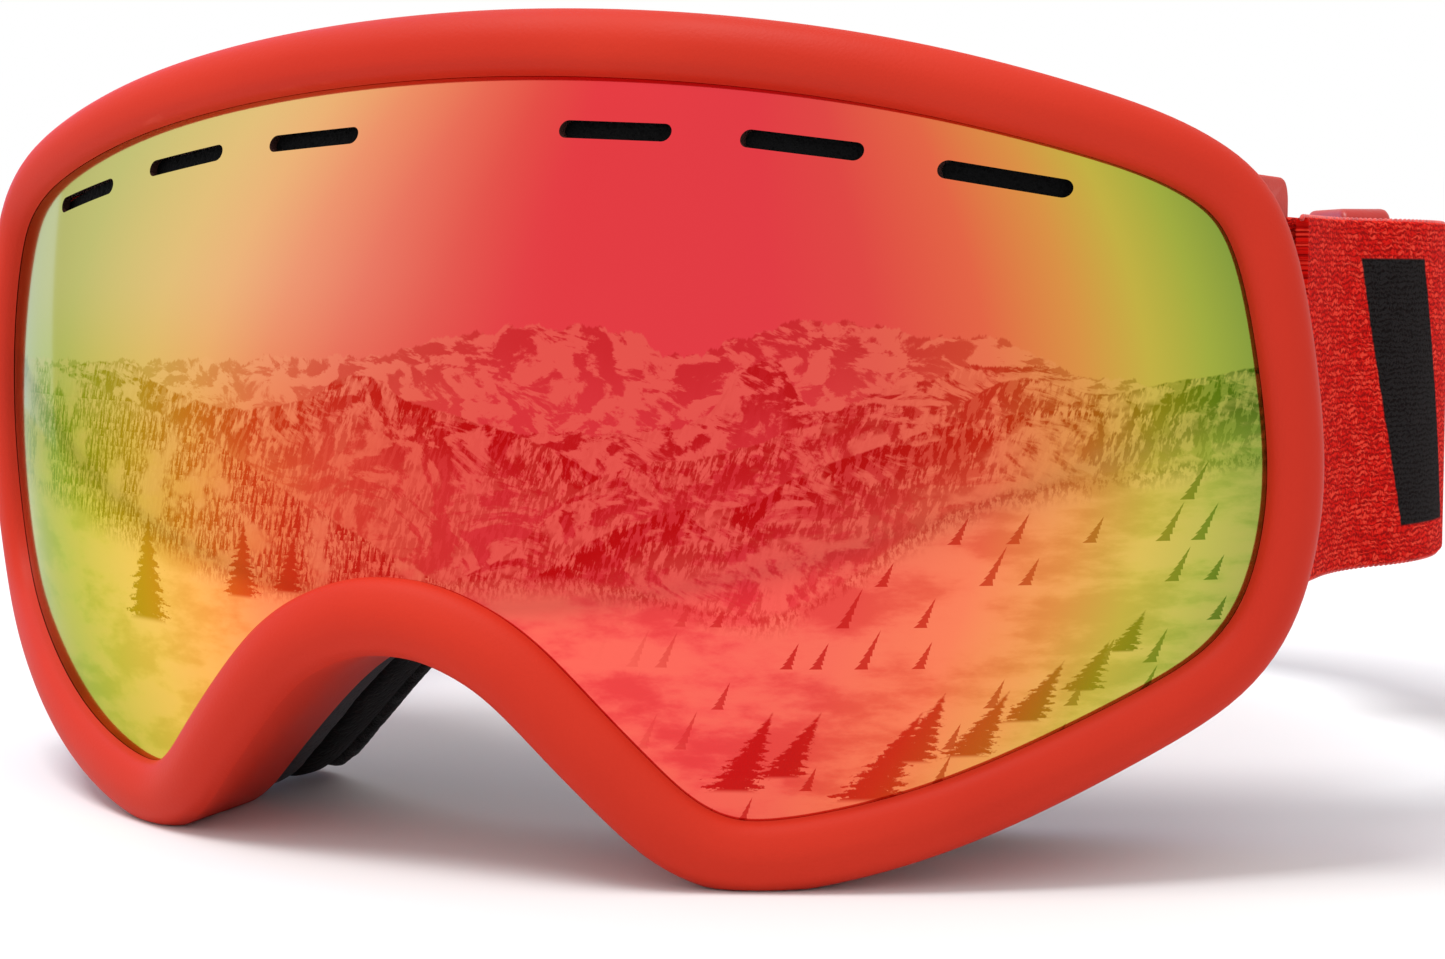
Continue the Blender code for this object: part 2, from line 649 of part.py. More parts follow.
def make_sliders(pivot):
    """Flat adjusters: two bars outside the strap, one inside it, joined above and below."""
    place, direction = along_route(strap_half_route(), SLIDER_AT)
    passage_out = STRAP_THICKNESS / 2 + SLIDER_PLAY
    passage_in = STRAP_THICKNESS * 1.5 + GAP + SLIDER_PLAY
    half_height = STRAP_WIDTH / 2 + SLIDER_PLAY
    top = half_height + SLIDER_END_WALL
    for side, sign in (("left", 1), ("right", -1)):
        origin = world((sign * place.x, place.y, STRAP_CENTRE_HEIGHT))
        angle = math.atan2(direction.y, sign * direction.x)
        outer = -sign * (passage_out + SLIDER_SKIN)
        inner = sign * (passage_in + SLIDER_SKIN)
        near, far = sorted((outer, inner))
        bm = block((-SLIDER_LENGTH / 2 * MM, near * MM, -top * MM),
                   (SLIDER_LENGTH / 2 * MM, far * MM, top * MM))
        bmesh.ops.bevel(bm, geom=list(bm.edges), offset=SLIDER_ROUNDING * MM, segments=2,
                        affect="EDGES", profile=0.5)
        slider = finish_object(f"strap_slider_{side}", bm, NYLON)
        slider.parent = pivot
        slider.location = origin - pivot.location
        slider.rotation_euler = (0, 0, angle)
        window = SLIDER_LENGTH - 2 * SLIDER_BAR
        past = SLIDER_LENGTH
        cuts = {"passage": (-past, -sign * passage_out, past, sign * passage_in),
                "outer_window": (-window / 2, 2 * outer, window / 2, 0),
                "front_window": (-past, 0, -SLIDER_BAR / 2, 2 * inner),
                "rear_window": (SLIDER_BAR / 2, 0, past, 2 * inner)}
        for cut, (x0, y0, x1, y1) in cuts.items():
            y0, y1 = sorted((y0, y1))
            cutter = box_cutter(f"slider_{cut}_{side}", (x0 * MM, y0 * MM, -half_height * MM),
                                (x1 * MM, y1 * MM, half_height * MM))
            cutter.location = origin
            cutter.rotation_euler = (0, 0, angle)
            boolean(slider, cutter, "DIFFERENCE")


clear_scene()
parts = new_collection("ski_goggles")
cutters = new_collection("cutters")

RUBBER = material("frame_rubber", (0.72, 0.045, 0.018), 0.55)
MIRROR = material("mirror_lens", (0.85, 0.12, 0.08), 0.12, 0.9)
CLEAR = material("clear_lens", (0.5, 0.5, 0.52), 0.1, 0.0, 0.4)
SPACER_FOAM = material("spacer_foam", (0.03, 0.03, 0.03), 0.9)
FILTER_FOAM = material("filter_foam", (0.012, 0.012, 0.012), 0.95)
GREY_FOAM = material("grey_foam", (0.05, 0.05, 0.055), 0.95)
BLACK_FOAM = material("black_foam", (0.012, 0.012, 0.012), 0.95)
FLEECE_CLOTH = material("fleece", (0.01, 0.01, 0.01), 1.0)
WEBBING = material("red_webbing", (0.6, 0.03, 0.015), 0.85)
NYLON = material("red_nylon", (0.45, 0.025, 0.015), 0.4)

SLOT_CENTRES = sized(DRAWN_SLOT_CENTRES)
LENS = closed_outline(LENS_EDGE)
INNER_LENS = closed_outline(INNER_LENS_EDGE)
FRAME_BACK = closed_outline(FRAME_BACK_EDGE)
FACE_OPENING = closed_outline(FACE_OPENING_EDGE)

LENS_CENTRE_HEIGHT = -min(z for _, z in sized(FRAME_BACK_EDGE)) - STAND_FLAT_DEPTH
WING_X = max(x for x, _ in sized(FRAME_BACK_EDGE)) + WING_STAND_OFF
WING_FRONT = lens_y(*max(sized(LENS_EDGE))) + WING_BEHIND_LENS
BAR_FRONT = WING_FRONT + WING_TO_BAR

goggle_frame = make_frame()
make_outer_lens()
make_spacer()
lens_shell("inner_lens", INNER_LENS, 0.0, -OUTER_LENS_THICKNESS - 2 * GAP - SPACER_THICKNESS,
           INNER_LENS_THICKNESS, 6, CLEAR)
make_slot_filters()
make_vent_foams()
face_layers = make_face_foam()
stand_flat(goggle_frame, *face_layers)
make_end_loops()

tilt_pivot = empty("strap_tilt_pivot",
                   world((0, BAR_FRONT + BAR_DEPTH + TILT_PIVOT_BEHIND_BAR, STRAP_CENTRE_HEIGHT)))
make_strap(tilt_pivot)
make_sliders(tilt_pivot)
bpy.context.view_layer.update()
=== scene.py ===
"""Looks of the ski goggles: moulded rubber frame, mirror lens, layered foam, knitted strap.
Lengths in the tables are millimetres from the lens's reference point; meshes are metres."""

import math

import bmesh
import bpy
import numpy as np
from mathutils import Matrix, Vector

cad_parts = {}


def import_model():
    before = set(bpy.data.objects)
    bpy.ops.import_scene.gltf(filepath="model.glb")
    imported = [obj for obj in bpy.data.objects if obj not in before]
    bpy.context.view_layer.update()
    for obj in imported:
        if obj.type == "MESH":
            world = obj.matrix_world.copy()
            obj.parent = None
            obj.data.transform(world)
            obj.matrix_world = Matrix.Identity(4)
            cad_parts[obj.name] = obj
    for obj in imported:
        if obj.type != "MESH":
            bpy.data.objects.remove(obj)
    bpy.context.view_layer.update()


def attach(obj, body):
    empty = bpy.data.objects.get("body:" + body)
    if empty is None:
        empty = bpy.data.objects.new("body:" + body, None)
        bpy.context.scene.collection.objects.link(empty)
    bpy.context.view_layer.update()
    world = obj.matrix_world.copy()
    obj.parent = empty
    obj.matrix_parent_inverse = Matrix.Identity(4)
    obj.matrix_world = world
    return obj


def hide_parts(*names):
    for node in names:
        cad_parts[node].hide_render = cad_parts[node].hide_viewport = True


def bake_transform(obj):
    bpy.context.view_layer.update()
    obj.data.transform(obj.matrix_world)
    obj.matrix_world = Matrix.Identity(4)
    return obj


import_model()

MM = 0.001
GAP = 0.3                      # between neighbouring pieces

# ---------------------------------------------------------------- sizes shared with the frame
LENS_HEIGHT_ON_FLOOR = 47.9
ORIGIN_BACK = 84.84
REFERENCE = (0, -ORIGIN_BACK, LENS_HEIGHT_ON_FLOOR)

# the lens's surface: how far back it lies grows with the place across and up it
LENS_BOW = 3.9e-3
LENS_WRAP = 1.5e-7
LENS_LEAN = 0.2312
LENS_CROWN = 4.06e-3
LENS_TWIST = -3.36e-5

# outlines from the middle of the brow to the middle of the nose, one side: (across, up)
LENS_EDGE = [(0, 36), (24, 34.9), (46, 31.9), (64, 27.4), (75, 23), (80, 17), (82.8, 2), (83, -11),
             (79.5, -22.5), (70, -29.6), (55, -37.2), (41, -40.9), (34, -39.8), (27, -33), (17, -23),
             (8, -18.3), (0, -17.1)]
INNER_LENS_EDGE = [(0, 24.5), (22, 23.6), (42, 21), (57, 17), (67.5, 12.5), (72.5, 7.5), (76, -1.5),
                   (76.5, -11), (73.5, -19.5), (65.5, -25.8), (52.5, -32.2), (41.5, -35.3),
                   (36.5, -34.5), (30, -28), (19, -18.5), (9, -13.6), (0, -12.6)]
FRAME_BACK_EDGE = [(0, 43.5), (24, 42.3), (44, 39), (58.5, 34.5), (67.5, 29.5), (71.5, 23), (73, 8),
                   (73, -6), (71.5, -19), (66, -29.5), (55, -40), (41, -48.7), (32.5, -47),
                   (24.5, -40), (14, -30.5), (6.5, -26.3), (0, -25.2)]
FACE_OPENING_EDGE = [(0, 31), (22, 30), (39, 27), (51, 23), (58, 18.5), (61, 13), (62, 3), (61.5, -7),
                     (59, -15), (54, -22), (47, -29), (40, -32.5), (35.5, -31), (30, -25),
                     (19.5, -15.5), (9, -11.5), (0, -10.5)]

FACE_DEPTH = 31.5
FACE_BOW = 6.2e-3
BROW_DEPTH = 2.2e-3
CHEEK = 45.0

RIM_WIDTH = 8.3
RIM_NARROWING = 1.9
RIM_HEIGHT = 3.0
RIM_ROUNDING = [(0.0, 0.02), (0.03, 0.42), (0.16, 0.76), (0.42, 1.0), (0.70, 0.93), (0.90, 0.56),
                (1.0, 0.0)]
GROOVE_LIP = 1.4
LENS_SEAT = 0.06
GROOVE_REACH = 0.9
GROOVE_EDGE = 0.7
# radii of the corners from the rim round the wall and the flange to the groove
BACK_RADII = [0, 0.9, 0.6, 0.4, 1.2, 0.6, 0.3, 0, 0]
WALL = 2.4
FLANGE_SHARE = 0.7
FLANGE_THICKNESS = 2.0

LENS_THICKNESS = 1.2
INNER_LENS_THICKNESS = 0.8
LENS_INSERT = 1.5
SPACER_THICKNESS = 3.4
SPACER_WIDTH = 4.0
SLOT_LENGTH = 12.8
SLOT_WIDTH = 1.9
SLOT_CENTRES = [(19.2, 29.6), (39.4, 27.8), (59.3, 24.2)]
SLOT_ROW_CROWN = 0.4
FILTER_THICKNESS = 2.0
FILTER_WIDTH = 4.6
FILTER_LINE = [(9.2, 30.1), *SLOT_CENTRES, (68.3, 21.6)]

TOP_VENTS = [-44, -22.5, 0, 22.5, 44]
TOP_VENT_SIZE = (15.0, 4.2)
TOP_VENT_TO_BACK = 6.8
LOWER_VENTS = [-50, -40, 40, 50]
LOWER_VENT_SIZE = (7.0, 5.0)
LOWER_VENT_TO_BACK = 7.6
VENT_CORNER = 1.9
VENT_FOAM_THICKNESS = 1.6
VENT_FOAM_DEPTH = 5.4
VENT_FOAM_TO_BACK = 4.6
VENT_FOAM_TILT = 0.4
VENT_FOAM_CLEARANCE = 0.6
TOP_FOAM_REACH = {"right": (-51.0, -36.0), "middle": (-34.0, 34.0), "left": (36.0, 51.0)}
LOWER_FOAM_REACH = {"left": (38.0, 54.0), "right": (-54.0, -38.0)}
STRIP_STATIONS = 60
STRIP_END_SCALE = 0.72
STRIP_END_STEP = 0.35

FOAM_BASE = 6.7
FOAM_BODY = 9.0
FLEECE = 2.4
FOAM_INSET = 0.6
FLOOR_CLEARANCE = 0.15

STRAP_WIDTH = 40.0
STRAP_THICKNESS = 1.5
STRAP_CENTRE_HEIGHT = 0.8
WING_X = 77.0
WING_THICKNESS = 2.5
WING_FRONT = 39.0
WING_MARGIN = 3.6
WING_CORNER = 2.6
WING_EDGE = 0.55
BAR_FRONT = 52.0
BAR_DEPTH = 4.5
STRAP_SLOT_DEPTH = 5.0
STRAP_SLOT_PLAY = 0.8
STRAP_SLOT_CORNER = 1.2
LOOP_OUTER_LENGTH = 14.0
LOOP_INNER_LENGTH = 9.0
STRAP_LAP = 5.5
# across, back and bend radius of each turn, from the bar to the back of the head
STRAP_ROUTE = [(0, 17, 30), (8.5, 34, 32), (2.5, 64, 55), (-31, 110, 45), (-60, 124, 70)]
TAIL_START = 26.0
TAIL_PAST_SLIDER = 19.0
SLIDER_AT = 93.4
SLIDER_LENGTH = 14.0
SLIDER_HEIGHT = 46.0
SLIDER_SKIN = 1.5
SLIDER_BAR = 3.4
SLIDER_PLAY = 0.4
SLIDER_CORNER = 2.2
SLIDER_EDGE = 0.8
SLIDER_WINDOW_CORNER = 1.0

# spacing, length and width of the selvedge stitches, and how far they lean
STITCH = (0.95, 1.25, 0.62, 0.5)

# ---------------------------------------------------------------- mesh fineness
OUTLINE_STEPS = 10
RIM_STEPS = 5
LENS_ROWS = 56
CORNER_STEPS = 5
STRAP_STEP = 1.2
WEBBING_FLATS = 24
TAIL_STATIONS = 60
WELD = 1e-6                    # metres


# ---------------------------------------------------------------- outlines and surfaces
def smooth_path(points, steps, closed):
    """Catmull-Rom curve through points, with steps places from each point to the next."""
    points = np.array(points, float)
    count = len(points)
    spans = count if closed else count - 1
    places = []
    for i in range(spans):
        order = [i - 1, i, i + 1, i + 2]
        if closed:
            order = [k % count for k in order]
        else:
            order = [min(max(k, 0), count - 1) for k in order]
        a, b, c, d = points[order]
        for step in range(steps):
            t = step / steps
            places.append(0.5 * (2 * b + (c - a) * t + (2 * a - 5 * b + 4 * c - d) * t ** 2
                                 + (3 * b - a - 3 * c + d) * t ** 3))
    if not closed:
        places.append(points[-1])
    return np.array(places)


def closed_outline(half):
    mirrored = [(-x, z) for x, z in half[-2:0:-1]]
    outline = smooth_path(half + mirrored, OUTLINE_STEPS, True)
    for _ in range(OUTLINE_STEPS):
        outline = (np.roll(outline, 1, axis=0) + 2 * outline + np.roll(outline, -1, axis=0)) / 4
    return outline


def lens_y(x, z):
    return (LENS_BOW * x ** 2 + LENS_WRAP * x ** 4 + LENS_LEAN * z + LENS_CROWN * z ** 2
            + LENS_TWIST * x ** 2 * z)


def unit(vectors):
    return vectors / np.linalg.norm(vectors, axis=-1, keepdims=True)


def lens_normal(x, z):
    slope_x = 2 * LENS_BOW * x + 4 * LENS_WRAP * x ** 3 + 2 * LENS_TWIST * x * z
    slope_z = LENS_LEAN + 2 * LENS_CROWN * z + LENS_TWIST * x ** 2
    return unit(np.stack([slope_x, -np.ones_like(slope_x), slope_z], -1))


def on_lens(x, z, height=0.0):
    """Points height in front of the lens, along its normal."""
    x, z = np.asarray(x, float), np.asarray(z, float)
    return np.stack([x, lens_y(x, z), z], -1) + lens_normal(x, z) * height


def edge_directions(outline):
    """At each outline point: its place on the lens, outward along the lens, and the normal."""
    place = on_lens(outline[:, 0], outline[:, 1])
    along = unit(np.roll(place, -1, axis=0) - np.roll(place, 1, axis=0))
    normal = lens_normal(outline[:, 0], outline[:, 1])
    return place, unit(np.cross(normal, along)), normal


def face_y(x, z):
    return FACE_DEPTH + FACE_BOW * x ** 2 + BROW_DEPTH * (z + CHEEK) ** 2


def frame_back_y(x, z):
    return face_y(x, z) - FOAM_BASE - FOAM_BODY - FLEECE - 3 * GAP


def beside(along):
    """Directions square to a run of flat directions, on its right."""
    return np.stack([along[:, 1], -along[:, 0]], 1)


def inset(outline, distance):
    along = unit(np.roll(outline, -1, axis=0) - np.roll(outline, 1, axis=0))
    return outline + beside(along) * distance


def at_depth(outline, depth):
    """An outline of (across, up) pairs as points at a depth."""
    return np.stack([outline[:, 0], depth, outline[:, 1]], 1)


LENS = closed_outline(LENS_EDGE)
INNER_LENS = closed_outline(INNER_LENS_EDGE)
FRAME_BACK = closed_outline(FRAME_BACK_EDGE)
FACE_OPENING = closed_outline(FACE_OPENING_EDGE)


def frame_top(x):
    half = FRAME_BACK[:len(FRAME_BACK) // 4]
    return float(np.interp(abs(x), half[:, 0], half[:, 1]))


def frame_bottom(x):
    run = FRAME_BACK[9 * OUTLINE_STEPS:13 * OUTLINE_STEPS][::-1]
    return float(np.interp(abs(x), run[:, 0], run[:, 1]))


# ---------------------------------------------------------------- mesh helpers
def world(points):
    """Millimetres from the lens's reference point as metres in the row frame."""
    return (np.asarray(points, float) + REFERENCE) * MM


def new_object(name, mesh, *materials):
    obj = bpy.data.objects.new(name, mesh)
    bpy.context.scene.collection.objects.link(obj)
    for mat in materials:
        mesh.materials.append(mat)
    return obj


def dress(obj, *materials):
    """Clears what cutting left behind and gives the piece its own materials."""
    obj.data.materials.clear()
    for mat in materials:
        obj.data.materials.append(mat)


def keep(obj, body, node):
    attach(obj, body)
    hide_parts(node)


def shade(mesh, sharp_angle):
    mesh.shade_smooth()
    mesh.set_sharp_from_angle(angle=math.radians(sharp_angle))


def face_outwards(mesh, weld=0.0):
    """Turns all faces outwards, after points closer than weld are joined."""
    bm = bmesh.new()
    bm.from_mesh(mesh)
    if weld:
        bmesh.ops.remove_doubles(bm, verts=bm.verts, dist=weld)
    bmesh.ops.recalc_face_normals(bm, faces=bm.faces)
    bm.to_mesh(mesh)
    bm.free()


def grid_mesh(name, rows, closed_rows, closed_columns, cap_ends=False):
    """Quads over a grid of points; faces end up pointing outwards."""
    rows = np.asarray(rows, float)
    height, width = rows.shape[:2]
    faces = []
    for i in range(height if closed_rows else height - 1):
        for j in range(width if closed_columns else width - 1):
            a, b = i * width + j, i * width + (j + 1) % width
            below = (i + 1) % height * width
            faces.append((a, b, below + (j + 1) % width, below + j))
    if cap_ends:
        faces.append(tuple(range(width)))
        faces.append(tuple((height - 1) * width + j for j in range(width)))
    mesh = bpy.data.meshes.new(name)
    mesh.from_pydata(rows.reshape(-1, 3).tolist(), [], faces)
    face_outwards(mesh)
    return mesh


def rounded_corner(before, corner, after, radius):
    """The points of a rounded corner, at all stations at once."""
    enter = corner + unit(before - corner) * radius
    leave = corner + unit(after - corner) * radius
    shares = [step / CORNER_STEPS for step in range(CORNER_STEPS + 1)]
    return [enter * (1 - t) ** 2 + corner * 2 * t * (1 - t) + leave * t ** 2 for t in shares]


def rounded_ring(corners, radius, side_steps):
    """Rounds a four-cornered section: corners are four arrays of one point per station."""
    section = []
    for k in range(4):
        corner, after = corners[k], corners[(k + 1) % 4]
        section += rounded_corner(corners[k - 1], corner, after, radius)
        leave = section[-1]
        next_enter = after + unit(corner - after) * radius
        section += [leave + (next_enter - leave) * step / side_steps for step in range(1, side_steps)]
    return np.stack(section, 1)


def rounded_chain(corners, radii):
    """Chain of corners, one point per station each; inner corners are rounded by their radius."""
    chain = [corners[0]]
    for before, corner, after, radius in zip(corners, corners[1:], corners[2:], radii):
        chain += rounded_corner(before, corner, after, radius) if radius else [corner]
    return chain + [corners[-1]]


def apply_modifiers(obj):
    """Replaces the object's mesh with what its modifiers make, and removes them."""
    bpy.context.view_layer.update()
    evaluated = obj.evaluated_get(bpy.context.evaluated_depsgraph_get())
    mesh = bpy.data.meshes.new_from_object(evaluated)
    old = obj.data
    obj.modifiers.clear()
    obj.data = mesh
    bpy.data.meshes.remove(old)
    mesh.name = obj.name
    return obj


def cut(obj, tools, operation="DIFFERENCE"):
    """Boolean with each tool in turn; the tools are removed."""
    for tool in tools:
        modifier = obj.modifiers.new(tool.name, "BOOLEAN")
        modifier.object = tool
        modifier.operation = operation
        modifier.solver = "EXACT"
        apply_modifiers(obj)
        mesh = tool.data
        bpy.data.objects.remove(tool)
        bpy.data.meshes.remove(mesh)
    return obj


def extruded(name, outline, start, direction, bevel=0.0):
    """A closed outline, placed at start and pushed along a direction, with rounded edges."""
    bm = bmesh.new()
    face = bm.faces.new([bm.verts.new(world(point + start)) for point in outline])
    made = bmesh.ops.extrude_face_region(bm, geom=[face])
    moved = [item for item in made["geom"] if isinstance(item, bmesh.types.BMVert)]
    bmesh.ops.translate(bm, verts=moved, vec=Vector(direction) * MM)
    bmesh.ops.recalc_face_normals(bm, faces=bm.faces)
    if bevel:
        rims = [edge for edge in bm.edges if edge.calc_face_angle(0) > math.radians(50)]
        bmesh.ops.bevel(bm, geom=rims, offset=bevel * MM, segments=3, affect="EDGES", profile=0.5)
    mesh = bpy.data.meshes.new(name)
    bm.to_mesh(mesh)
    bm.free()
    return new_object(name, mesh)


def round_box(width, height, radius, steps=6):
    """Rounded rectangle in the plane, as (across, up) pairs."""
    points = []
    for corner, (sx, sy) in enumerate([(1, 1), (-1, 1), (-1, -1), (1, -1)]):
        for step in range(steps + 1):
            angle = math.pi / 2 * (corner + step / steps)
            points.append((sx * (width / 2 - radius) + radius * math.cos(angle),
                           sy * (height / 2 - radius) + radius * math.sin(angle)))
    return points


def in_plane(plane, pairs):
    """Flat pairs as points in the XY, XZ or YZ plane."""
    points = np.zeros((len(pairs), 3))
    points[:, ["XYZ".index(axis) for axis in plane]] = pairs
    return points


# ---------------------------------------------------------------- node helpers
class Value:
    """A number, vector or colour inside a node tree; arithmetic on it adds Math nodes."""

    def __init__(self, tree, socket):
        self.tree = tree
        self.socket = socket

    def math(self, operation, *others):
        return add(self.tree, "Math", self, *others, operation=operation)

    def __add__(self, other):
        return self.math("ADD", other)

    def __sub__(self, other):
        return self.math("SUBTRACT", other)

    def __rsub__(self, other):
        return add(self.tree, "Math", other, self, operation="SUBTRACT")

    def __mul__(self, other):
        return self.math("MULTIPLY", other)

    def __truediv__(self, other):
        return self.math("DIVIDE", other)

    def __pow__(self, other):
        return self.math("POWER", other)

    def __abs__(self):
        return self.math("ABSOLUTE")

    def most(self, other):
        return self.math("MAXIMUM", other)

    def floor(self):
        return self.math("FLOOR")

    def fract(self):
        return self.math("FRACT")

    def between(self, low, high, to_low=0.0, to_high=1.0):
        """Smooth change from to_low to to_high as the value goes from low to high."""
        return add(self.tree, "MapRange", self, low, high, to_low, to_high,
                   interpolation_type="SMOOTHSTEP")

    def noise(self, scale, detail=2.0, roughness=0.5, distortion=0.0):
        node = self.tree.nodes.new("ShaderNodeTexNoise")
        for key, value in (("Vector", self), ("Scale", scale), ("Detail", detail),
                           ("Roughness", roughness), ("Distortion", distortion)):
            fill(node.inputs[key], value)
        return Value(self.tree, node.outputs["Fac"])

    def parts(self, kind):
        """The channels of a vector or colour."""
        node = self.tree.nodes.new("ShaderNodeSeparate" + kind)
        self.to(node.inputs[0])
        return [Value(self.tree, output) for output in node.outputs]

    def to(self, socket):
        self.tree.links.new(self.socket, socket)


def fill(socket, value):
    """Links a Value to a node's input or sets the input; None leaves it as it is."""
    if isinstance(value, Value):
        value.to(socket)
    elif value is not None:
        socket.default_value = value


def add(tree, kind, *values, out=0, **settings):
    """Adds a shader node; values fill its inputs in order."""
    node = tree.nodes.new("ShaderNode" + kind)
    for key, value in settings.items():
        setattr(node, key, value)
    for socket, value in zip(node.inputs, values):
        fill(socket, value)
    return Value(tree, node.outputs[out])


def vector(x, y, z=0.0):
    return add(x.tree, "CombineXYZ", x, y, z)


def mix(factor, a, b, blend="MIX"):
    tree = (factor if isinstance(factor, Value) else a).tree
    return add(tree, "Mix", factor, None, None, None, None, None, a, b, out=2,
               data_type="RGBA", blend_type=blend, clamp_factor=True)


def ramp(factor, stops):
    node = factor.tree.nodes.new("ShaderNodeValToRGB")
    elements = node.color_ramp.elements
    while len(elements) < len(stops):
        elements.new(0.5)
    for element, (position, colour) in zip(elements, stops):
        element.position = position
        element.color = colour
    factor.to(node.inputs[0])
    return Value(factor.tree, node.outputs[0])


def curve(value, low, high, points, to_low, to_high):
    """A smooth curve through (value, result) points."""
    share = add(value.tree, "MapRange", value, low, high, 0.0, 1.0)
    node = value.tree.nodes.new("ShaderNodeFloatCurve")
    line = node.mapping.curves[0]
    while len(line.points) < len(points):
        line.points.new(0.5, 0.5)
    for point, (x, y) in zip(line.points, points):
        point.location = ((x - low) / (high - low), (y - to_low) / (to_high - to_low))
    node.mapping.update()
    share.to(node.inputs["Value"])
    return add(value.tree, "MapRange", Value(value.tree, node.outputs[0]), 0.0, 1.0, to_low, to_high)


def group(name, outputs, **inputs):
    """An empty node group: its tree, its inputs and its output sockets, both by name.
    An input without a number is a vector."""
    tree = bpy.data.node_groups.new(name, "ShaderNodeTree")
    for label, value in inputs.items():
        kind = "NodeSocketVector" if value is None else "NodeSocketFloat"
        fill(tree.interface.new_socket(name=label, in_out="INPUT", socket_type=kind), value)
    for label in outputs:
        tree.interface.new_socket(name=label, in_out="OUTPUT", socket_type="NodeSocketFloat")
    entry = tree.nodes.new("NodeGroupInput")
    given = {label: Value(tree, entry.outputs[label]) for label in inputs}
    return tree, given, tree.nodes.new("NodeGroupOutput").inputs


def use(tree, shared, **values):
    """Places a node group; the values fill its named inputs."""
    node = tree.nodes.new("ShaderNodeGroup")
    node.node_tree = shared
    for label, value in values.items():
        fill(node.inputs[label], value)
    return {output.name: Value(tree, output) for output in node.outputs}


def srgb(*display):
    """A display colour, 0 to 255, as linear light."""
    light = [(c / 255 / 12.92) if c <= 10 else ((c / 255 + 0.055) / 1.055) ** 2.4 for c in display]
    return (*light, 1.0)


# ---------------------------------------------------------------- shared surface effects
def make_grain():
    """Fine moulded or woven grain: a height and a slow tone change."""
    tree, given, made = group("fine_grain", ["Height", "Tone"], Place=None, Size=900.0, Patches=40.0)
    given["Place"].noise(given["Size"], 4.0).to(made["Height"])
    given["Place"].noise(given["Patches"], 3.0).between(0.3, 0.7).to(made["Tone"])
    return tree


def make_wear_and_shade():
    """Paler, rubbed crests from wear and darker creases as painted shade, both from the surface's own
    curvature.
    """
    tree, given, made = group("edge_wear_and_crease_shade", ["Crest", "Crease_Shade"], Place=None, Amount=1.0)
    bend = add(tree, "NewGeometry", out=7)
    crest = bend.between(0.52, 0.60) * given["Place"].noise(220.0, 5.0, 0.6).between(0.35, 0.65)
    (crest * given["Amount"]).to(made["Crest"])
    # painted shade: darker in the hollows of the surface
    (bend.between(0.48, 0.42) * given["Amount"]).to(made["Crease_Shade"])
    return tree


def make_pores():
    """Open-cell foam: round pores of two sizes, and a mask that darkens the pores as painted shade."""
    tree, given, made = group("foam_pores", ["Height", "Pore_Shade"], Place=None, Cell=1400.0)
    large, small = [add(tree, "TexVoronoi", given["Place"], None, given["Cell"] * size).between(0.1, 0.6)
                    for size in (1.0, 2.3)]
    both = large * 0.65 + small * 0.35
    both.to(made["Height"])
    # painted shade: the low places in the pores
    both.between(0.45, 0.15).to(made["Pore_Shade"])
    return tree


def make_knit():
    """Knitted elastic: short twisted loops in wandering rows."""
    tree, given, made = group("knit", ["Height", "Thread", "Tone"],
                              Along=0.0, Across=0.0, Loop=0.95, Row=0.62)
    place = vector(given["Along"], given["Across"])
    wander = place.noise(0.5, 3.0, 0.6)
    across = given["Across"] / given["Row"] + wander * 2.6
    row = across.floor()
    in_row = across.fract() - 0.5
    stagger = row.math("MODULO", 2.0) * 0.5
    along = given["Along"] / given["Loop"] + (stagger + (in_row * 0.9 + wander * 5.0))
    cell = along.floor()
    in_cell = along.fract() - 0.5
    chance = add(tree, "TexWhiteNoise", vector(cell, row), noise_dimensions="2D")
    loop = ((in_cell * 1.7) ** 2.0 + (in_row * 1.7) ** 2.0).between(1.1, 0.0)
    fibres = place.noise(2.3, 5.0, 0.75, 1.3)
    height = loop * chance.between(0.0, 1.0, 0.35, 0.7) + fibres * 0.9
    height.to(made["Height"])
    height.between(0.45, 0.85).to(made["Thread"])
    (chance * fibres).to(made["Tone"])
    return tree


def make_conifers():
    """Scattered conifers with saw-toothed sides, one to a cell: a mask."""
    tree, given, made = group("conifers", ["Mask"], Along=0.0, Up=0.0, Width=2.0, Tall=3.0,
                              Share=0.6, Seed=0.0)
    row_place = given["Up"] / given["Tall"]
    row = row_place.floor()
    shift = add(tree, "TexWhiteNoise", vector(row, given["Seed"]), noise_dimensions="2D")
    place = given["Along"] / given["Width"] + shift
    chance = add(tree, "TexWhiteNoise", vector(place.floor(), row, given["Seed"]), out=1,
                 noise_dimensions="3D")
    side, size, there = chance.parts("Color")
    x = place.fract() - side.between(0.0, 1.0, 0.3, 0.7)
    height = row_place.fract() / size.between(0.0, 1.0, 0.55, 0.98)
    teeth = (height * 6.0).fract()
    reach = (1.0 - height) * (teeth * -0.09 + 0.2)
    inside = abs(x).math("LESS_THAN", reach)
    (inside * there.math("LESS_THAN", given["Share"])).to(made["Mask"])
    return tree


# hill lines of the painted reflection in the lens, from far to near: (across, up) on the lens
FAR_PEAKS = [(-90, 4), (-50, 4.5), (-20, 5.5), (-3, 6.5), (5, 8), (14, 9), (25, 8.5), (30, 6.5), (36, 8),
             (42, 10), (48, 9.5), (56, 8), (61, 8), (67, 4.5), (90, 3)]
PYRAMID = [(-90, -8), (-20, -4), (10, -2), (24, -1.5), (33, 0), (39, 6), (44, 1), (52, 3.5), (61, 5.5),
           (70, 3), (90, 2)]
LEFT_HILL = [(-90, 2), (-60, 3.5), (-45, 4.5), (-34, 1.5), (-24, 0), (-14, 1), (-6, 4), (0, 1.5), (8, -0.5),
             (17, -3), (24, -6.5), (30, -9), (40, -14), (90, -40)]
RIGHT_RIDGE = [(-90, -40), (10, -16), (26, -5), (35, -3.5), (42, -1), (48, 1.5), (56, 1.5), (62, 4), (72, 2),
               (90, 4)]
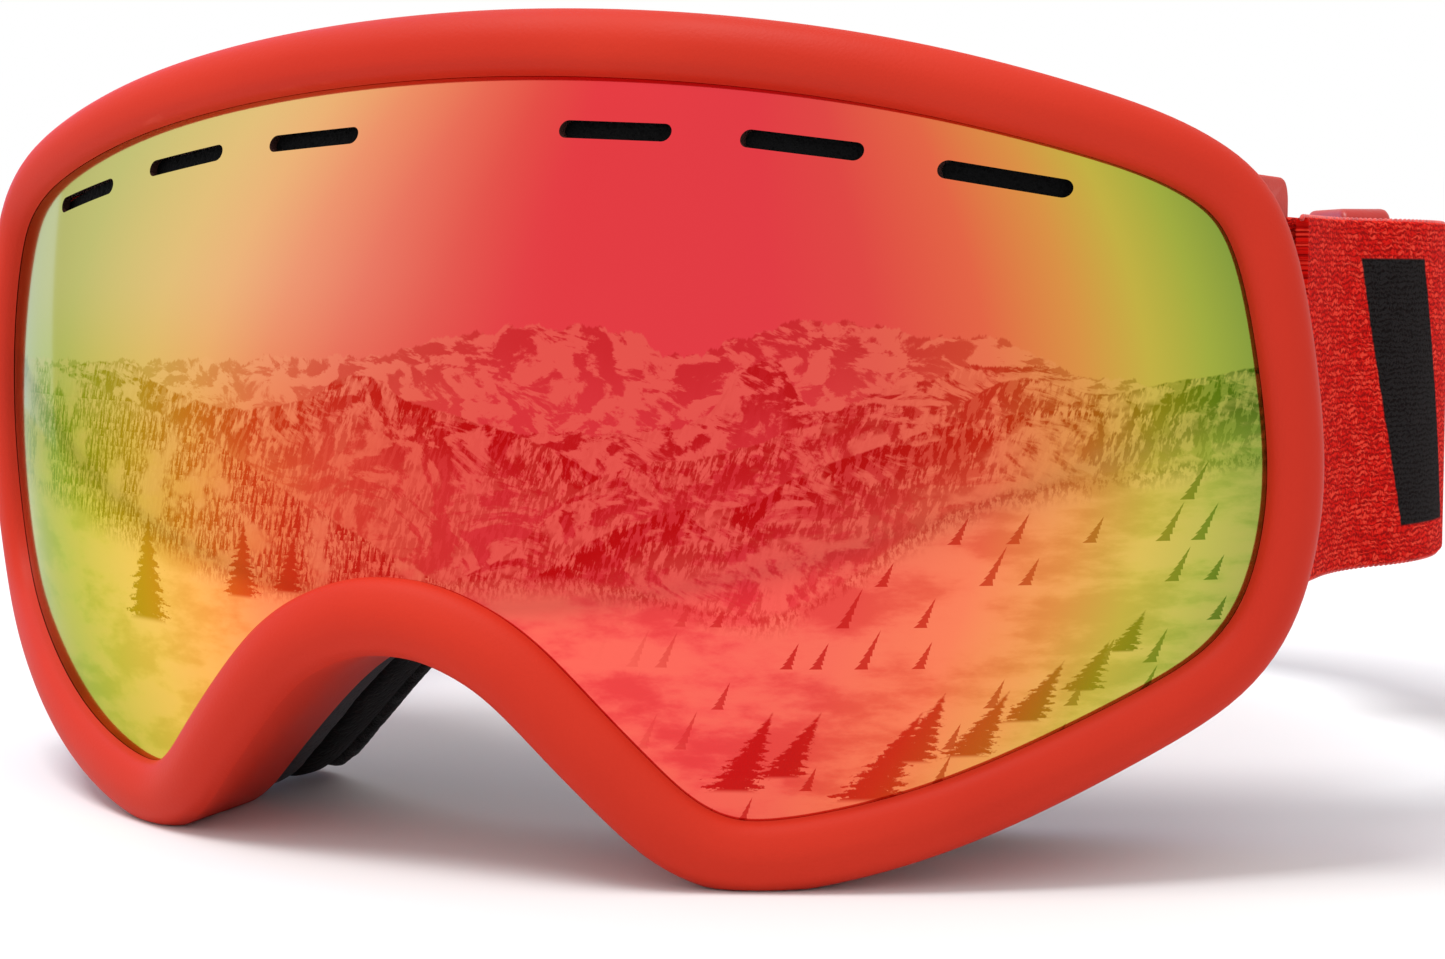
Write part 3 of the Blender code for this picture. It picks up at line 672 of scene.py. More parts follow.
RIGHT_HILL = [(-90, -40), (14, -17), (30, -9.5), (38, -8.5), (42, -6), (49, -3), (55, -1), (66, 1.5),
              (82, 5), (90, 6)]
FOREST_SLOPE = [(-90, 6), (-78, 5), (-49, 1.5), (-29, -3), (-12, -9.5), (1, -15), (20, -22), (90, -40)]
SNOW_FIELD = [(-90, -9), (-60, -11), (-45, -13.5), (-30, -16), (-14, -18), (6, -17), (20, -16), (29, -17.5),
              (40, -19), (50, -13.5), (60, -7.5), (72, -5), (90, -3)]
# line, jag, jag size, relief size, relief darkness, woodland, haze
RANGES = [(FAR_PEAKS, 5.6, 0.19, 0.20, 0.75, 0.0, 0.75), (PYRAMID, 4.2, 0.17, 0.15, 0.9, 0.2, 0.9),
          (LEFT_HILL, 1.6, 0.2, 0.11, 0.65, 0.85, 1.0), (RIGHT_RIDGE, 1.8, 0.2, 0.11, 0.55, 0.9, 0.9),
          (RIGHT_HILL, 1.4, 0.15, 0.09, 0.5, 0.95, 1.0)]
# seed, width, height, share of the cells
FOREST = [(0.0, 1.1, 2.6, 0.85), (1.0, 1.5, 3.4, 0.8), (2.0, 2.1, 4.2, 0.65)]
# foot across, foot up, height, lean
TALL_CONIFERS = [(-37.0, -24.6, 12.5, 0.0), (-20.5, -20.6, 8.6, 0.0), (-13.6, -19.6, 6.6, 0.1),
                 (36.5, -38.0, 8.5, 0.5), (41.0, -36.5, 7.0, 0.6), (48.5, -39.0, 9.5, 0.6),
                 (52.5, -35.0, 7.5, 0.5), (57.5, -34.5, 7.0, 0.6), (62.5, -31.0, 6.5, 0.6),
                 (67.5, -28.0, 5.5, 0.5), (71.0, -24.0, 4.5, 0.5)]


def skyline(x, z, points, jag, jag_size, softness, detail):
    """One below a hill line with a rough edge, nought above it; and the depth below it."""
    line = curve(x, -90.0, 90.0, points, -45.0, 15.0)
    rough = vector(x, 0.0, float(len(points))).noise(jag_size, detail, 0.72)
    depth = line + (rough - 0.5) * jag - z
    return depth.between(0.0, softness), depth


def lone_conifer(x, z, foot_x, foot_z, tall, lean):
    """One large conifer with ragged branches."""
    up = (z - foot_z) / tall
    ragged = vector(x, z * 2.0).noise(1.3, 5.0, 0.75)
    teeth = (up * 9.0 + ragged).fract()
    branch = (1.0 - teeth * 0.45) + (ragged - 0.5) * 2.4
    width = (1.0 - up) * (0.37 * tall) * branch
    stem = up * (lean * tall) + foot_x
    inside = (abs(x - stem) - width).between(0.1, -0.25)
    return inside * up.between(-0.02, 0.05) * up.between(1.0, 0.97)


def mountain_range(x, z, line, jag, jag_size, relief_size, relief_dark, woodland, haze):
    """One range: its outline, its shaded slopes and its woods."""
    inside, depth = skyline(x, z, line, jag, jag_size, 0.25, 7.0)
    reliefs = [vector(x + shift + z * 0.5, (z - shift * 0.5) * 1.5, len(line) * 3.0)
               .noise(relief_size, 8.0, 0.62, 0.5) for shift in (0.0, 1.1)]
    shaded = (reliefs[0] - reliefs[1]).between(-0.03, 0.045)
    trunks = vector(x + z * -0.22, z * 0.27, len(line) * 5.0).noise(1.7, 3.0, 0.65).between(0.44, 0.54)
    stands = vector(x, z * 1.6, len(line) * 7.0).noise(0.10, 4.0, 0.6)
    wooded = stands.between(0.44, 0.54, 0.12, 1.0).most(shaded * 0.75)
    woods = trunks * wooded.most(depth.between(1.6, 0.2, 0.0, 0.75))
    dark = (shaded * relief_dark + woods * woodland).math("MINIMUM", 1.0)
    fade = depth.between(1.0, 9.0, 1.0, 0.5) * haze
    return inside, dark * fade, (1.0 - shaded) * 0.6


def make_painted_reflection():
    """Painted reflection of snowy mountains and forest in the mirror: how dark and how snowy each place is.
    """
    tree, given, made = group("painted_mountain_reflection", ["Dark", "Snow"], Across=0.0, Up=0.0)
    x, z = given["Across"], given["Up"]
    dark, snow = 0.0, 0.0

    def lay(inside, new_dark, new_snow):
        return [add(tree, "Mix", inside, None, old, new, data_type="FLOAT")
                for old, new in ((dark, new_dark), (snow, new_snow))]

    for settings in RANGES:
        dark, snow = lay(*mountain_range(x, z, *settings))

    few, small, large = [use(tree, CONIFERS, Along=x + z * -0.12, Up=z, Width=width, Tall=tall,
                             Share=share, Seed=seed)["Mask"] for seed, width, tall, share in FOREST]
    speckle = vector(x, z * 0.4).noise(2.4, 4.0, 0.7).between(0.44, 0.56)
    forest = (few.most(small).most(large) * 0.95).most(speckle * 0.75)
    glades = vector(x, z).noise(0.13, 4.0).between(0.58, 0.50, 0.1, 1.0)
    drifts = vector(x, z * 2.4).noise(0.08, 6.0, 0.6)
    bright = drifts.between(0.60, 0.40, 0.3, 1.0)
    slope, _ = skyline(x, z, FOREST_SLOPE, 2.4, 0.2, 0.3, 6.0)
    dark, snow = lay(slope, forest * glades, bright)

    field, depth = skyline(x, z, SNOW_FIELD, 3.5, 0.16, 0.9, 6.0)
    leaning = use(tree, CONIFERS, Along=x - z * 0.45, Up=z, Width=3.1, Tall=4.2, Share=0.42, Seed=9.0)
    scattered = leaning["Mask"] * x.between(22.0, 40.0, 0.0, 0.85)
    near_edge = speckle * depth.between(3.4, 0.0, 0.0, 0.8)
    hollows = drifts.between(0.46, 0.62) * 0.28
    dark, snow = lay(field, scattered.most(near_edge).most(hollows), bright)
    for place in TALL_CONIFERS:
        dark = dark.most(lone_conifer(x, z, *place) * 0.95)
    dark.math("MINIMUM", 1.0).to(made["Dark"])
    snow.to(made["Snow"])
    return tree


GRAIN = make_grain()
WEAR_AND_SHADE = make_wear_and_shade()
PORES = make_pores()
KNIT = make_knit()
CONIFERS = make_conifers()
PAINTED_REFLECTION = make_painted_reflection()


# ---------------------------------------------------------------- materials
def new_material(name, roughness=0.5, metallic=0.0, **constants):
    """A material with its constants on the shader's own sockets: it, its tree, shader and place."""
    mat = bpy.data.materials.new(name)
    mat.use_nodes = True
    tree = mat.node_tree
    shader = tree.nodes["Principled BSDF"].inputs
    shader["Roughness"].default_value = roughness
    shader["Metallic"].default_value = metallic
    for key, value in constants.items():
        shader[key.replace("_", " ")].default_value = value
    return mat, tree, shader, Value(tree, tree.nodes.new("ShaderNodeTexCoord").outputs["Object"])


def bump_to(shader, height, strength, distance):
    bump = height.tree.nodes.new("ShaderNodeBump")
    bump.inputs["Strength"].default_value = strength
    bump.inputs["Distance"].default_value = distance
    height.to(bump.inputs["Height"])
    height.tree.links.new(bump.outputs[0], shader["Normal"])


def grained(name, size, patches, dark, pale, rough=None, bump=0.0, **constants):
    """A material whose colour wanders between two tones over a fine grain. Its shader, colour
    and roughness come with it, so that more can be laid over them."""
    mat, tree, shader, place = new_material(name, **constants)
    grain = use(tree, GRAIN, Place=place, Size=size, Patches=patches)
    colour = mix(grain["Tone"], srgb(*dark), srgb(*pale))
    colour.to(shader["Base Color"])
    roughness = None
    if rough:
        roughness = grain["Tone"].between(0.0, 1.0, *rough)
        roughness.to(shader["Roughness"])
    if bump:
        bump_to(shader, grain["Height"], bump, 0.0002)
    return mat, shader, place, colour, roughness


def rubber_material():
    """Matte injection-moulded TPU, slightly paler on its rubbed crests, with painted shade darkening its
    creases.
    """
    mat, shader, place, base, rough = grained("moulded_rubber", 2600.0, 26.0, (187, 42, 24), (194, 47, 28),
                                              (0.50, 0.60), 0.16, Specular_IOR_Level=0.12)
    wear_and_shade = use(base.tree, WEAR_AND_SHADE, Place=place, Amount=1.0)
    base = mix(wear_and_shade["Crest"] * 0.35, base, srgb(205, 66, 46))
    # painted shade: the creases darkened towards a deep red
    mix(wear_and_shade["Crease_Shade"] * 0.45, base, srgb(128, 20, 12)).to(shader["Base Color"])
    (rough - wear_and_shade["Crest"] * 0.08).to(shader["Roughness"])
    return mat


# mirror coating from the wearer's right to left: place across the lens, display colour
COATING = [(-83, (164, 186, 96)), (-60, (182, 194, 80)), (-50, (206, 192, 74)), (-40, (226, 186, 74)),
           (-30, (238, 166, 72)), (-20, (240, 124, 66)), (-10, (236, 90, 64)), (0, (232, 70, 62)),
           (10, (232, 60, 66)), (40, (230, 60, 68)), (50, (228, 72, 68)), (60, (232, 102, 70)),
           (68, (222, 148, 70)), (74, (198, 180, 68)), (79, (164, 175, 64)), (85, (120, 150, 60))]
COATING_STRENGTH = 0.96
COATING_MIDDLE = (25.0, -3.0)
COATING_BEND = 0.009           # the bands of colour close in above and below the middle
# tint of the dark places in the painted reflection
DEEP_TINT = (0.84, 1.05, 1.0, 1.0)
EDGE_TINT = (0.62, 0.66, 0.42, 1.0)


def mirror_material():
    """Multi-layer mirror coating: red middle through orange and yellow to green sides,
    with a painted reflection of a mountain view in it and a painted highlight at its upper left."""
    mat, tree, shader, place = new_material("mirror_coating", roughness=0.09, metallic=1.0,
                                            Coat_Weight=0.06, Coat_Roughness=0.03, Coat_IOR=1.5,
                                            Specular_Tint=EDGE_TINT)
    across, _, up = place.parts("XYZ")
    x = across * 1000.0
    z = up * 1000.0 - LENS_HEIGHT_ON_FLOOR
    level = z - COATING_MIDDLE[1]
    side = x.between(COATING_MIDDLE[0] - 25, COATING_MIDDLE[0] + 25, -1.0, 1.0)
    band = x + level * level * COATING_BEND * side
    first, last = COATING[0][0], COATING[-1][0]
    stops = []
    for at, colour in COATING:
        red, green, blue, _ = srgb(*colour)
        stops.append(((at - first) / (last - first),
                      (red * COATING_STRENGTH, green * COATING_STRENGTH, blue * COATING_STRENGTH, 1.0)))
    coating = ramp((band - first) / float(last - first), stops)
    # painted highlight: the upper left of the lens made paler, as if a softbox were reflected there
    painted_highlight = x.between(18.0, -30.0) * z.between(-8.0, 16.0)
    coating = mix(painted_highlight * 0.30, coating, srgb(246, 214, 190))
    # painted reflection: the mountain view's snow lightens the coating and its dark places take the deep
    # tint
    view = use(tree, PAINTED_REFLECTION, Across=x, Up=z)
    deep = mix(1.0, mix(1.0, coating, coating, "MULTIPLY"), DEEP_TINT, "MULTIPLY")
    lit = mix(view["Snow"] * 0.16, coating, srgb(255, 186, 130))
    mix(view["Dark"], lit, deep).to(shader["Base Color"])
    return mat


def clear_material():
    """Clear inner lens with a faint anti-fog bloom."""
    mat, tree, shader, place = new_material("clear_lens_sheet", roughness=0.05,
                                            Transmission_Weight=0.9, IOR=1.2)
    tone = use(tree, GRAIN, Place=place, Size=400.0, Patches=30.0)["Tone"]
    mix(tone, (0.80, 0.82, 0.84, 1.0), (0.86, 0.87, 0.88, 1.0)).to(shader["Base Color"])
    tone.between(0.0, 1.0, 0.04, 0.09).to(shader["Roughness"])
    return mat


def foam_material(name, solid, dark_tone_and_pore_shade, cell, depth=0.5):
    mat, tree, shader, place = new_material(name, roughness=0.95, Specular_IOR_Level=0.2)
    cells = use(tree, PORES, Place=place, Cell=cell)
    grain = use(tree, GRAIN, Place=place, Size=3200.0, Patches=60.0)
    base = mix(grain["Tone"] * 0.35, srgb(*solid), srgb(*dark_tone_and_pore_shade))
    # painted shade: the pores darkened to the darker colour
    mix(cells["Pore_Shade"], base, srgb(*dark_tone_and_pore_shade)).to(shader["Base Color"])
    bump_to(shader, cells["Height"] + grain["Height"] * 0.4, depth, 0.0004)
    return mat


def fleece_material():
    """Short brushed pile, paler where the tufts and the pile stand higher: painted light."""
    mat, tree, shader, place = new_material("brushed_fleece", roughness=1.0, Specular_IOR_Level=0.1,
                                            Sheen_Weight=0.12, Sheen_Roughness=0.6)
    pile = place.noise(2600.0, 5.0, 0.7, 0.6)
    tufts = place.noise(420.0, 3.0, 0.6, 0.8)
    # painted light: paler where the tufts and the pile stand higher
    base = mix(tufts.between(0.35, 0.65), srgb(12, 12, 13), srgb(25, 25, 27))
    mix(pile.between(0.55, 0.75), base, srgb(40, 40, 43)).to(shader["Base Color"])
    bump_to(shader, pile + tufts, 0.7, 0.0006)
    return mat


STRIPE_PITCH = 52.0            # black slanted blocks woven into the strap
STRIPE_FIRST = 24.0
STRIPE_WIDTH = 13.0
STRIPE_HALF_HEIGHT = 15.5
STRIPE_SLANT = 0.28
STRIPE_EDGE = 0.3


def strap_material():
    """Red knitted elastic with slanted black blocks woven in; painted shade between its loops and a painted
    glint on their tops.
    """
    mat, tree, shader, _ = new_material("knitted_elastic", roughness=0.9, Specular_IOR_Level=0.05,
                                        Sheen_Weight=0.02, Sheen_Roughness=0.5,
                                        Sheen_Tint=(1.0, 0.45, 0.35, 1.0))
    along, across, _ = add(tree, "UVMap", uv_map="webbing").parts("XYZ")
    along, across = along * 1000.0, across * 1000.0
    knit = use(tree, KNIT, Along=along, Across=across)
    thread = mix(knit["Tone"], srgb(232, 22, 14), srgb(250, 34, 22))
    # painted shade: the low places between the loops darkened
    cloth = mix(knit["Thread"], srgb(158, 6, 4), thread)
    # painted highlight: a pale glint on the highest loops
    cloth = mix(knit["Height"].between(0.85, 1.10) * 0.7, cloth, srgb(255, 84, 62))
    # painted shade between the loops of the black blocks too
    black_cloth = mix(knit["Thread"], srgb(5, 5, 5), srgb(32, 32, 33))
    fuzz = vector(along, across).noise(0.8, 3.0)
    leaning = along + across * STRIPE_SLANT + fuzz * 0.5
    place = (leaning - (STRIPE_FIRST - STRIPE_PITCH * 10)).math("MODULO", STRIPE_PITCH)
    in_width = place.between(0.0, STRIPE_EDGE) * place.between(STRIPE_WIDTH + STRIPE_EDGE, STRIPE_WIDTH)
    in_height = abs(across).between(STRIPE_HALF_HEIGHT + STRIPE_EDGE, STRIPE_HALF_HEIGHT)
    mix(in_width * in_height, cloth, black_cloth).to(shader["Base Color"])
    bump_to(shader, knit["Height"], 0.9, 0.0004)
    return mat


def nylon_material():
    """Moulded red nylon with a satin grain and rubbed edges."""
    mat, shader, place, base, _ = grained("moulded_nylon", 1800.0, 120.0, (168, 26, 16), (180, 32, 20),
                                          (0.36, 0.48), 0.2)
    wear_and_shade = use(base.tree, WEAR_AND_SHADE, Place=place, Amount=0.8)
    mix(wear_and_shade["Crest"] * 0.5, base, srgb(208, 72, 54)).to(shader["Base Color"])
    return mat


RUBBER = rubber_material()
MIRROR = mirror_material()
# the lens body seen from behind: dark smoke tint
SMOKE = grained("lens_smoke", 60.0, 12.0, (58, 36, 34), (70, 44, 40), bump=0.02, roughness=0.08,
                Specular_IOR_Level=0.5)[0]
CLEAR = clear_material()
# second colour of each foam: its darker tone and the painted shade in its pores
GREY_FOAM = foam_material("grey_base_foam", (66, 67, 70), (40, 40, 42), 1500.0)
BLACK_FOAM = foam_material("black_body_foam", (17, 17, 18), (5, 5, 6), 1100.0)
FILTER_FOAM = foam_material("filter_foam_cells", (14, 14, 15), (2, 2, 2), 900.0, 0.9)
SPACER_FOAM = foam_material("spacer_foam_cells", (30, 30, 32), (12, 12, 13), 1800.0)
FLEECE_CLOTH = fleece_material()
ELASTIC = strap_material()
# twisted sewing thread
RED_THREAD = grained("red_sewing_thread", 4000.0, 700.0, (176, 22, 20), (228, 60, 44), bump=0.4,
                     roughness=0.7, Sheen_Weight=0.3)[0]
NYLON = nylon_material()


# ---------------------------------------------------------------- frame
def frame_rows():
    """Cross-sections of the frame all the way round."""
    place, outward, normal = edge_directions(LENS)

    def at(u, v):
        return place + outward * np.reshape(u, (-1, 1)) + normal * v

    width = RIM_WIDTH - RIM_NARROWING * (place[:, 0] / LENS_EDGE[7][0]) ** 2
    groove = LENS_INSERT + GAP
    behind = -LENS_THICKNESS - GAP
    lip = behind - GROOVE_LIP
    rim = [at(u * width, v * RIM_HEIGHT) for u, v in smooth_path(RIM_ROUNDING, RIM_STEPS, False)]
    rear_y = frame_back_y(*FRAME_BACK.T)
    rear = at_depth(FRAME_BACK, rear_y)
    reach = FRAME_BACK + (FACE_OPENING - FRAME_BACK) * FLANGE_SHARE
    flange = at_depth(reach, frame_back_y(*reach.T))
    flange_front = flange - (0, FLANGE_THICKNESS, 0)
    wall_back = at_depth(inset(FRAME_BACK, WALL), rear_y - FLANGE_THICKNESS)
    middle = rim[-1] + (rear - rim[-1]) * 0.5
    seat = [at(groove + GROOVE_REACH, lip), at(GROOVE_EDGE, lip), at(GROOVE_EDGE, behind),
            at(groove, behind), at(groove, LENS_SEAT)]
    back = rounded_chain([rim[-1], middle, rear, flange, flange_front, wall_back, *seat], BACK_RADII)
    return np.stack(rim + back[1:], 1)


def vent_cutters():
    """Rounded openings through the brow wall and the cheek walls."""
    cutters = []
    for name, places, wall_height, size, to_back, start, push in (
            ("top_vent", TOP_VENTS, frame_top, TOP_VENT_SIZE, TOP_VENT_TO_BACK, -WALL - 4, WALL + 10),
            ("lower_vent", LOWER_VENTS, frame_bottom, LOWER_VENT_SIZE, LOWER_VENT_TO_BACK, -6, WALL + 9)):
        outline = in_plane("XY", round_box(*size, VENT_CORNER))
        for x in places:
            edge = wall_height(x)
            middle = frame_back_y(x, edge) - to_back
            cutters.append(extruded(name, outline, (x, middle, edge + start), (0, 0, push)))
    return cutters


def strap_wing(sign):
    """The wing behind the rim with its slot, which leaves a bar for the strap."""
    half = STRAP_WIDTH / 2 + STRAP_SLOT_PLAY
    depth = BAR_FRONT + BAR_DEPTH - WING_FRONT
    middle = WING_FRONT + depth / 2
    start = (sign * WING_X, middle, STRAP_CENTRE_HEIGHT)
    through = (sign * WING_THICKNESS, 0, 0)
    outline = in_plane("YZ", round_box(depth, 2 * (half + WING_MARGIN), WING_CORNER))
    wing = extruded("wing", outline, start, through, WING_EDGE)
    slot = in_plane("YZ", round_box(STRAP_SLOT_DEPTH, 2 * half, STRAP_SLOT_CORNER))
    start = (sign * (WING_X - 2), BAR_FRONT - STRAP_SLOT_DEPTH / 2, STRAP_CENTRE_HEIGHT)
    return wing, extruded("slot", slot, start, (sign * (WING_THICKNESS + 4), 0, 0))


def make_frame():
    frame_piece = new_object("goggle_frame", grid_mesh("goggle_frame", world(frame_rows()), True, True))
    wings = [strap_wing(sign) for sign in (1, -1)]
    cut(frame_piece, [wing for wing, _ in wings], "UNION")
    cut(frame_piece, vent_cutters() + [slot for _, slot in wings])
    below_floor = extruded("floor_block", in_plane("XY", round_box(400, 400, 5, 1)),
                           (0, 0, -LENS_HEIGHT_ON_FLOOR - 20), (0, 0, 20))
    cut(frame_piece, [below_floor])
    dress(frame_piece, RUBBER)
    shade(frame_piece.data, 38)
    keep(frame_piece, "goggles", "frame")


# ---------------------------------------------------------------- lenses
def lens_rows(outline, overhang, height, thickness):
    """A lens as a ladder of rungs from its top to its bottom edge, front and back in one ring."""
    place, outward, _ = edge_directions(outline)
    edge = (place + outward * overhang)[:, [0, 2]]
    count = len(outline)
    quarter = count // 4
    share = np.linspace(0, 1, LENS_ROWS + 1)[:, None]
    rows = []
    for i in range(-quarter, quarter + 1):
        top, bottom = edge[i % count], edge[(count // 2 - i) % count]
        rung = top + (bottom - top) * share
        front = on_lens(rung[:, 0], rung[:, 1], height)
        back = on_lens(rung[:, 0], rung[:, 1], height - thickness)
        rows.append(np.concatenate([front, back[::-1]]))
    return np.array(rows)


def slot_cutters():
    """The six slots along the brow, each turned along its row."""
    points = [(0, SLOT_CENTRES[0][1] + SLOT_ROW_CROWN)] + SLOT_CENTRES
    pill = in_plane("XZ", round_box(SLOT_LENGTH, SLOT_WIDTH, SLOT_WIDTH / 2 - 0.01, 8))
    cutters = []
    for index, (x, z) in enumerate(SLOT_CENTRES):
        (x0, z0), (x1, z1) = points[index], points[min(index + 2, len(points) - 1)]
        tilt = math.atan2(z1 - z0, x1 - x0)
        for sign in (1, -1):
            turn = Matrix.Rotation(-sign * tilt, 3, "Y")
            start = Vector((sign * x, float(lens_y(x, z)) - 6, z))
            outline = [turn @ Vector(point) for point in pill]
            cutters.append(extruded("slot", outline, start, (0, 12, 0)))
    return cutters


FACING = 0.8                   # past this a face belongs to the front or the back, not the edge


def true_lens_normals(mesh):
    """Exact surface normals on the front and back, so reflections run smoothly past the slots."""
    places = np.empty(len(mesh.vertices) * 3)
    mesh.vertices.foreach_get("co", places)
    places = places.reshape(-1, 3) / MM - REFERENCE
    smooth = lens_normal(places[:, 0], places[:, 2])
    normals = np.empty((len(mesh.loops), 3))
    for polygon in mesh.polygons:
        flat_normal = np.array(polygon.normal)
        facing = float(flat_normal @ smooth[polygon.vertices[0]])
        polygon.material_index = 0 if facing > FACING else 1
        for loop, vertex in zip(polygon.loop_indices, polygon.vertices):
            edge = abs(facing) <= FACING
            normals[loop] = flat_normal if edge else smooth[vertex] * math.copysign(1, facing)
    mesh.shade_smooth()
    mesh.normals_split_custom_set(normals.tolist())


def make_lens(name, outline, overhang, height, thickness, cutters, materials, node):
    mesh = grid_mesh(name, world(lens_rows(outline, overhang, height, thickness)), False, True)
    face_outwards(mesh, WELD)
    lens = new_object(name, mesh)
    cut(lens, cutters)
    dress(lens, *materials)
    true_lens_normals(lens.data)
    keep(lens, "goggles", node)


def make_lenses():
    make_lens("mirror_lens", LENS, LENS_INSERT, 0.0, LENS_THICKNESS, slot_cutters(), [MIRROR, SMOKE],
              "outer_lens")
    make_lens("anti_fog_lens", INNER_LENS, 0.0, -LENS_THICKNESS - 2 * GAP - SPACER_THICKNESS,
              INNER_LENS_THICKNESS, [], [CLEAR, CLEAR], "inner_lens")


# ---------------------------------------------------------------- foam
PUFF_PRESSURE = 4.0
PUFF_STEPS = 20
PUFF_SCALE = 10.0              # the cloth is simulated this much larger


def puff(obj, voxel, most):
    """Swells a closed foam solid under cloth pressure; no point moves further than most."""
    remesh = obj.modifiers.new("remesh", "REMESH")
    remesh.mode = "VOXEL"
    remesh.voxel_size = voxel * MM
    apply_modifiers(obj)
    rest = np.array([v.co for v in obj.data.vertices], float)
    obj.data.transform(Matrix.Scale(PUFF_SCALE, 4))
    cloth = obj.modifiers.new("cloth", "CLOTH")
    cloth.settings.use_pressure = True
    cloth.settings.uniform_pressure_force = PUFF_PRESSURE
    cloth.settings.effector_weights.gravity = 0
    cloth.settings.quality = 4
    cloth.collision_settings.use_collision = False
    for step in range(PUFF_STEPS):
        bpy.context.scene.frame_set(step + 1)
    apply_modifiers(obj)
    bpy.context.scene.frame_set(1)
    swollen = np.array([v.co for v in obj.data.vertices], float) / PUFF_SCALE
    move = swollen - rest
    length = np.linalg.norm(move, axis=1, keepdims=True)
    move *= np.minimum(1, most * MM / np.maximum(length, 1e-9))
    obj.data.vertices.foreach_set("co", (rest + move).ravel())
    obj.data.update()
    smooth = obj.modifiers.new("smooth", "SMOOTH")
    smooth.factor = 0.5
    smooth.iterations = 4
    finer = obj.modifiers.new("finer", "SUBSURF")
    finer.levels = finer.render_levels = 1
    apply_modifiers(obj)
    obj.data.shade_smooth()


def keep_foam(obj, mat, node):
    dress(obj, mat)
    keep(obj, "goggles", node)


def face_layer(name, near, far, side_play, radius, side_steps):
    """One glued layer round the face opening, between two depths behind the frame."""
    outer = inset(FRAME_BACK, FOAM_INSET + side_play)
    inner = inset(FACE_OPENING, -side_play)

    corners = [at_depth(outline, frame_back_y(*outline.T) + depth)
               for outline, depth in ((outer, near), (outer, far), (inner, far), (inner, near))]
    rows = rounded_ring(corners, radius, side_steps)
    rows[..., 2] = np.maximum(rows[..., 2], FLOOR_CLEARANCE - LENS_HEIGHT_ON_FLOOR)
    return new_object(name, grid_mesh(name, world(rows), True, True))


def make_face_foam():
    """The three glued layers: grey base, black body and fleece cover."""
    base, body = GAP, 2 * GAP + FOAM_BASE
    fleece = 3 * GAP + FOAM_BASE + FOAM_BODY
    # near and far depth, side play, corner radius, side steps; voxel and furthest swell
    for name, sizes, swell, mat, node, slot, fill in (
            ("face_foam_base_layer", (base + 0.1, base + FOAM_BASE - 0.2, 0.3, 0.9, 3), (1.3, 0.35),
             GREY_FOAM, "face_foam_base", "grey_foam", 0.9),
            ("face_foam_body_layer", (body + 0.1, body + FOAM_BODY - 0.1, 0.3, 1.6, 3), (1.3, 0.5),
             BLACK_FOAM, "face_foam", "black_foam", 0.85),
            ("face_fleece_cover", (fleece - 0.15, fleece + FLEECE - 0.1, 0.0, 1.05, 4), (0.9, 0.3),
             FLEECE_CLOTH, "face_fleece", "fleece", 0.8)):
        layer = face_layer(name, *sizes)
        puff(layer, *swell)
        keep_foam(layer, mat, node)


def foam_strip(name, corners, radius, mat, node):
    """A run of rounded foam sections, drawn in and closed at both ends."""
    rows = rounded_ring([np.array(corner) for corner in corners], radius, 2)
    middle = rows.mean(axis=1, keepdims=True)
    ends = middle[[0, -1]] + (rows[[0, -1]] - middle[[0, -1]]) * STRIP_END_SCALE
    rows[0] += unit(middle[1] - middle[0]) * STRIP_END_STEP
    rows[-1] -= unit(middle[-1] - middle[-2]) * STRIP_END_STEP
    rows = np.concatenate([ends[:1], rows, ends[1:]])
    strip = new_object(name, grid_mesh(name, world(rows), False, True, cap_ends=True))
    strip.data.shade_smooth()
    keep_foam(strip, mat, node)


def make_slot_filters():
    """Black foam behind each row of three slots."""
    front = -LENS_THICKNESS - GAP
    back = front - FILTER_THICKNESS
    xs = np.linspace(FILTER_LINE[0][0], FILTER_LINE[-1][0], STRIP_STATIONS)
    zs = np.interp(xs, *zip(*FILTER_LINE))
    up, down = zs + FILTER_WIDTH / 2, zs - FILTER_WIDTH / 2
    for side, sign in (("left", 1), ("right", -1)):
        corners = [on_lens(xs * sign, edge, height)
                   for edge, height in ((up, front), (down, front), (down, back), (up, back))]
        foam_strip(f"slot_filter_strip_{side}", corners, 0.5, FILTER_FOAM, f"slot_filter_{side}")


def vent_strip(name, node, start, end, wall_height, up):
    """Foam that lines the inside of the wall behind a run of vents."""
    xs = np.linspace(start, end, STRIP_STATIONS)
    edge = np.array([wall_height(x) for x in xs])
    back = frame_back_y(xs, edge) - VENT_FOAM_TO_BACK
    sink = WALL + VENT_FOAM_CLEARANCE + VENT_FOAM_TILT * (VENT_FOAM_TO_BACK - FLANGE_THICKNESS)
    rear = edge - up * sink
    front = rear - up * VENT_FOAM_TILT * VENT_FOAM_DEPTH
    thick = up * VENT_FOAM_THICKNESS
    ahead = back - VENT_FOAM_DEPTH
    corners = [np.stack([xs, depth, height], 1)
               for depth, height in ((ahead, front), (back, rear), (back, rear - thick),
                                     (ahead, front - thick))]
    foam_strip(name, corners, 0.4, FILTER_FOAM, node)


def make_vent_foams():
    for place, (start, end) in TOP_FOAM_REACH.items():
        vent_strip(f"brow_vent_foam_{place}", f"top_vent_foam_{place}", start, end, frame_top, 1)
    for side, (start, end) in LOWER_FOAM_REACH.items():
        vent_strip(f"cheek_vent_foam_{side}", f"lower_vent_foam_{side}", start, end, frame_bottom, -1)


def make_spacer():
    """Foam gasket that holds the inner lens behind the outer one."""
    front = -LENS_THICKNESS - GAP
    place, outward, normal = edge_directions(INNER_LENS)
    inner = place - outward * SPACER_WIDTH
    back = front - SPACER_THICKNESS
    corners = [place + normal * front, place + normal * back, inner + normal * back, inner + normal * front]
    rows = world(rounded_ring(corners, 0.5, 2))
    gasket = new_object("lens_gasket", grid_mesh("lens_gasket", rows, True, True))
    gasket.data.shade_smooth()
    keep_foam(gasket, SPACER_FOAM, "lens_spacer")


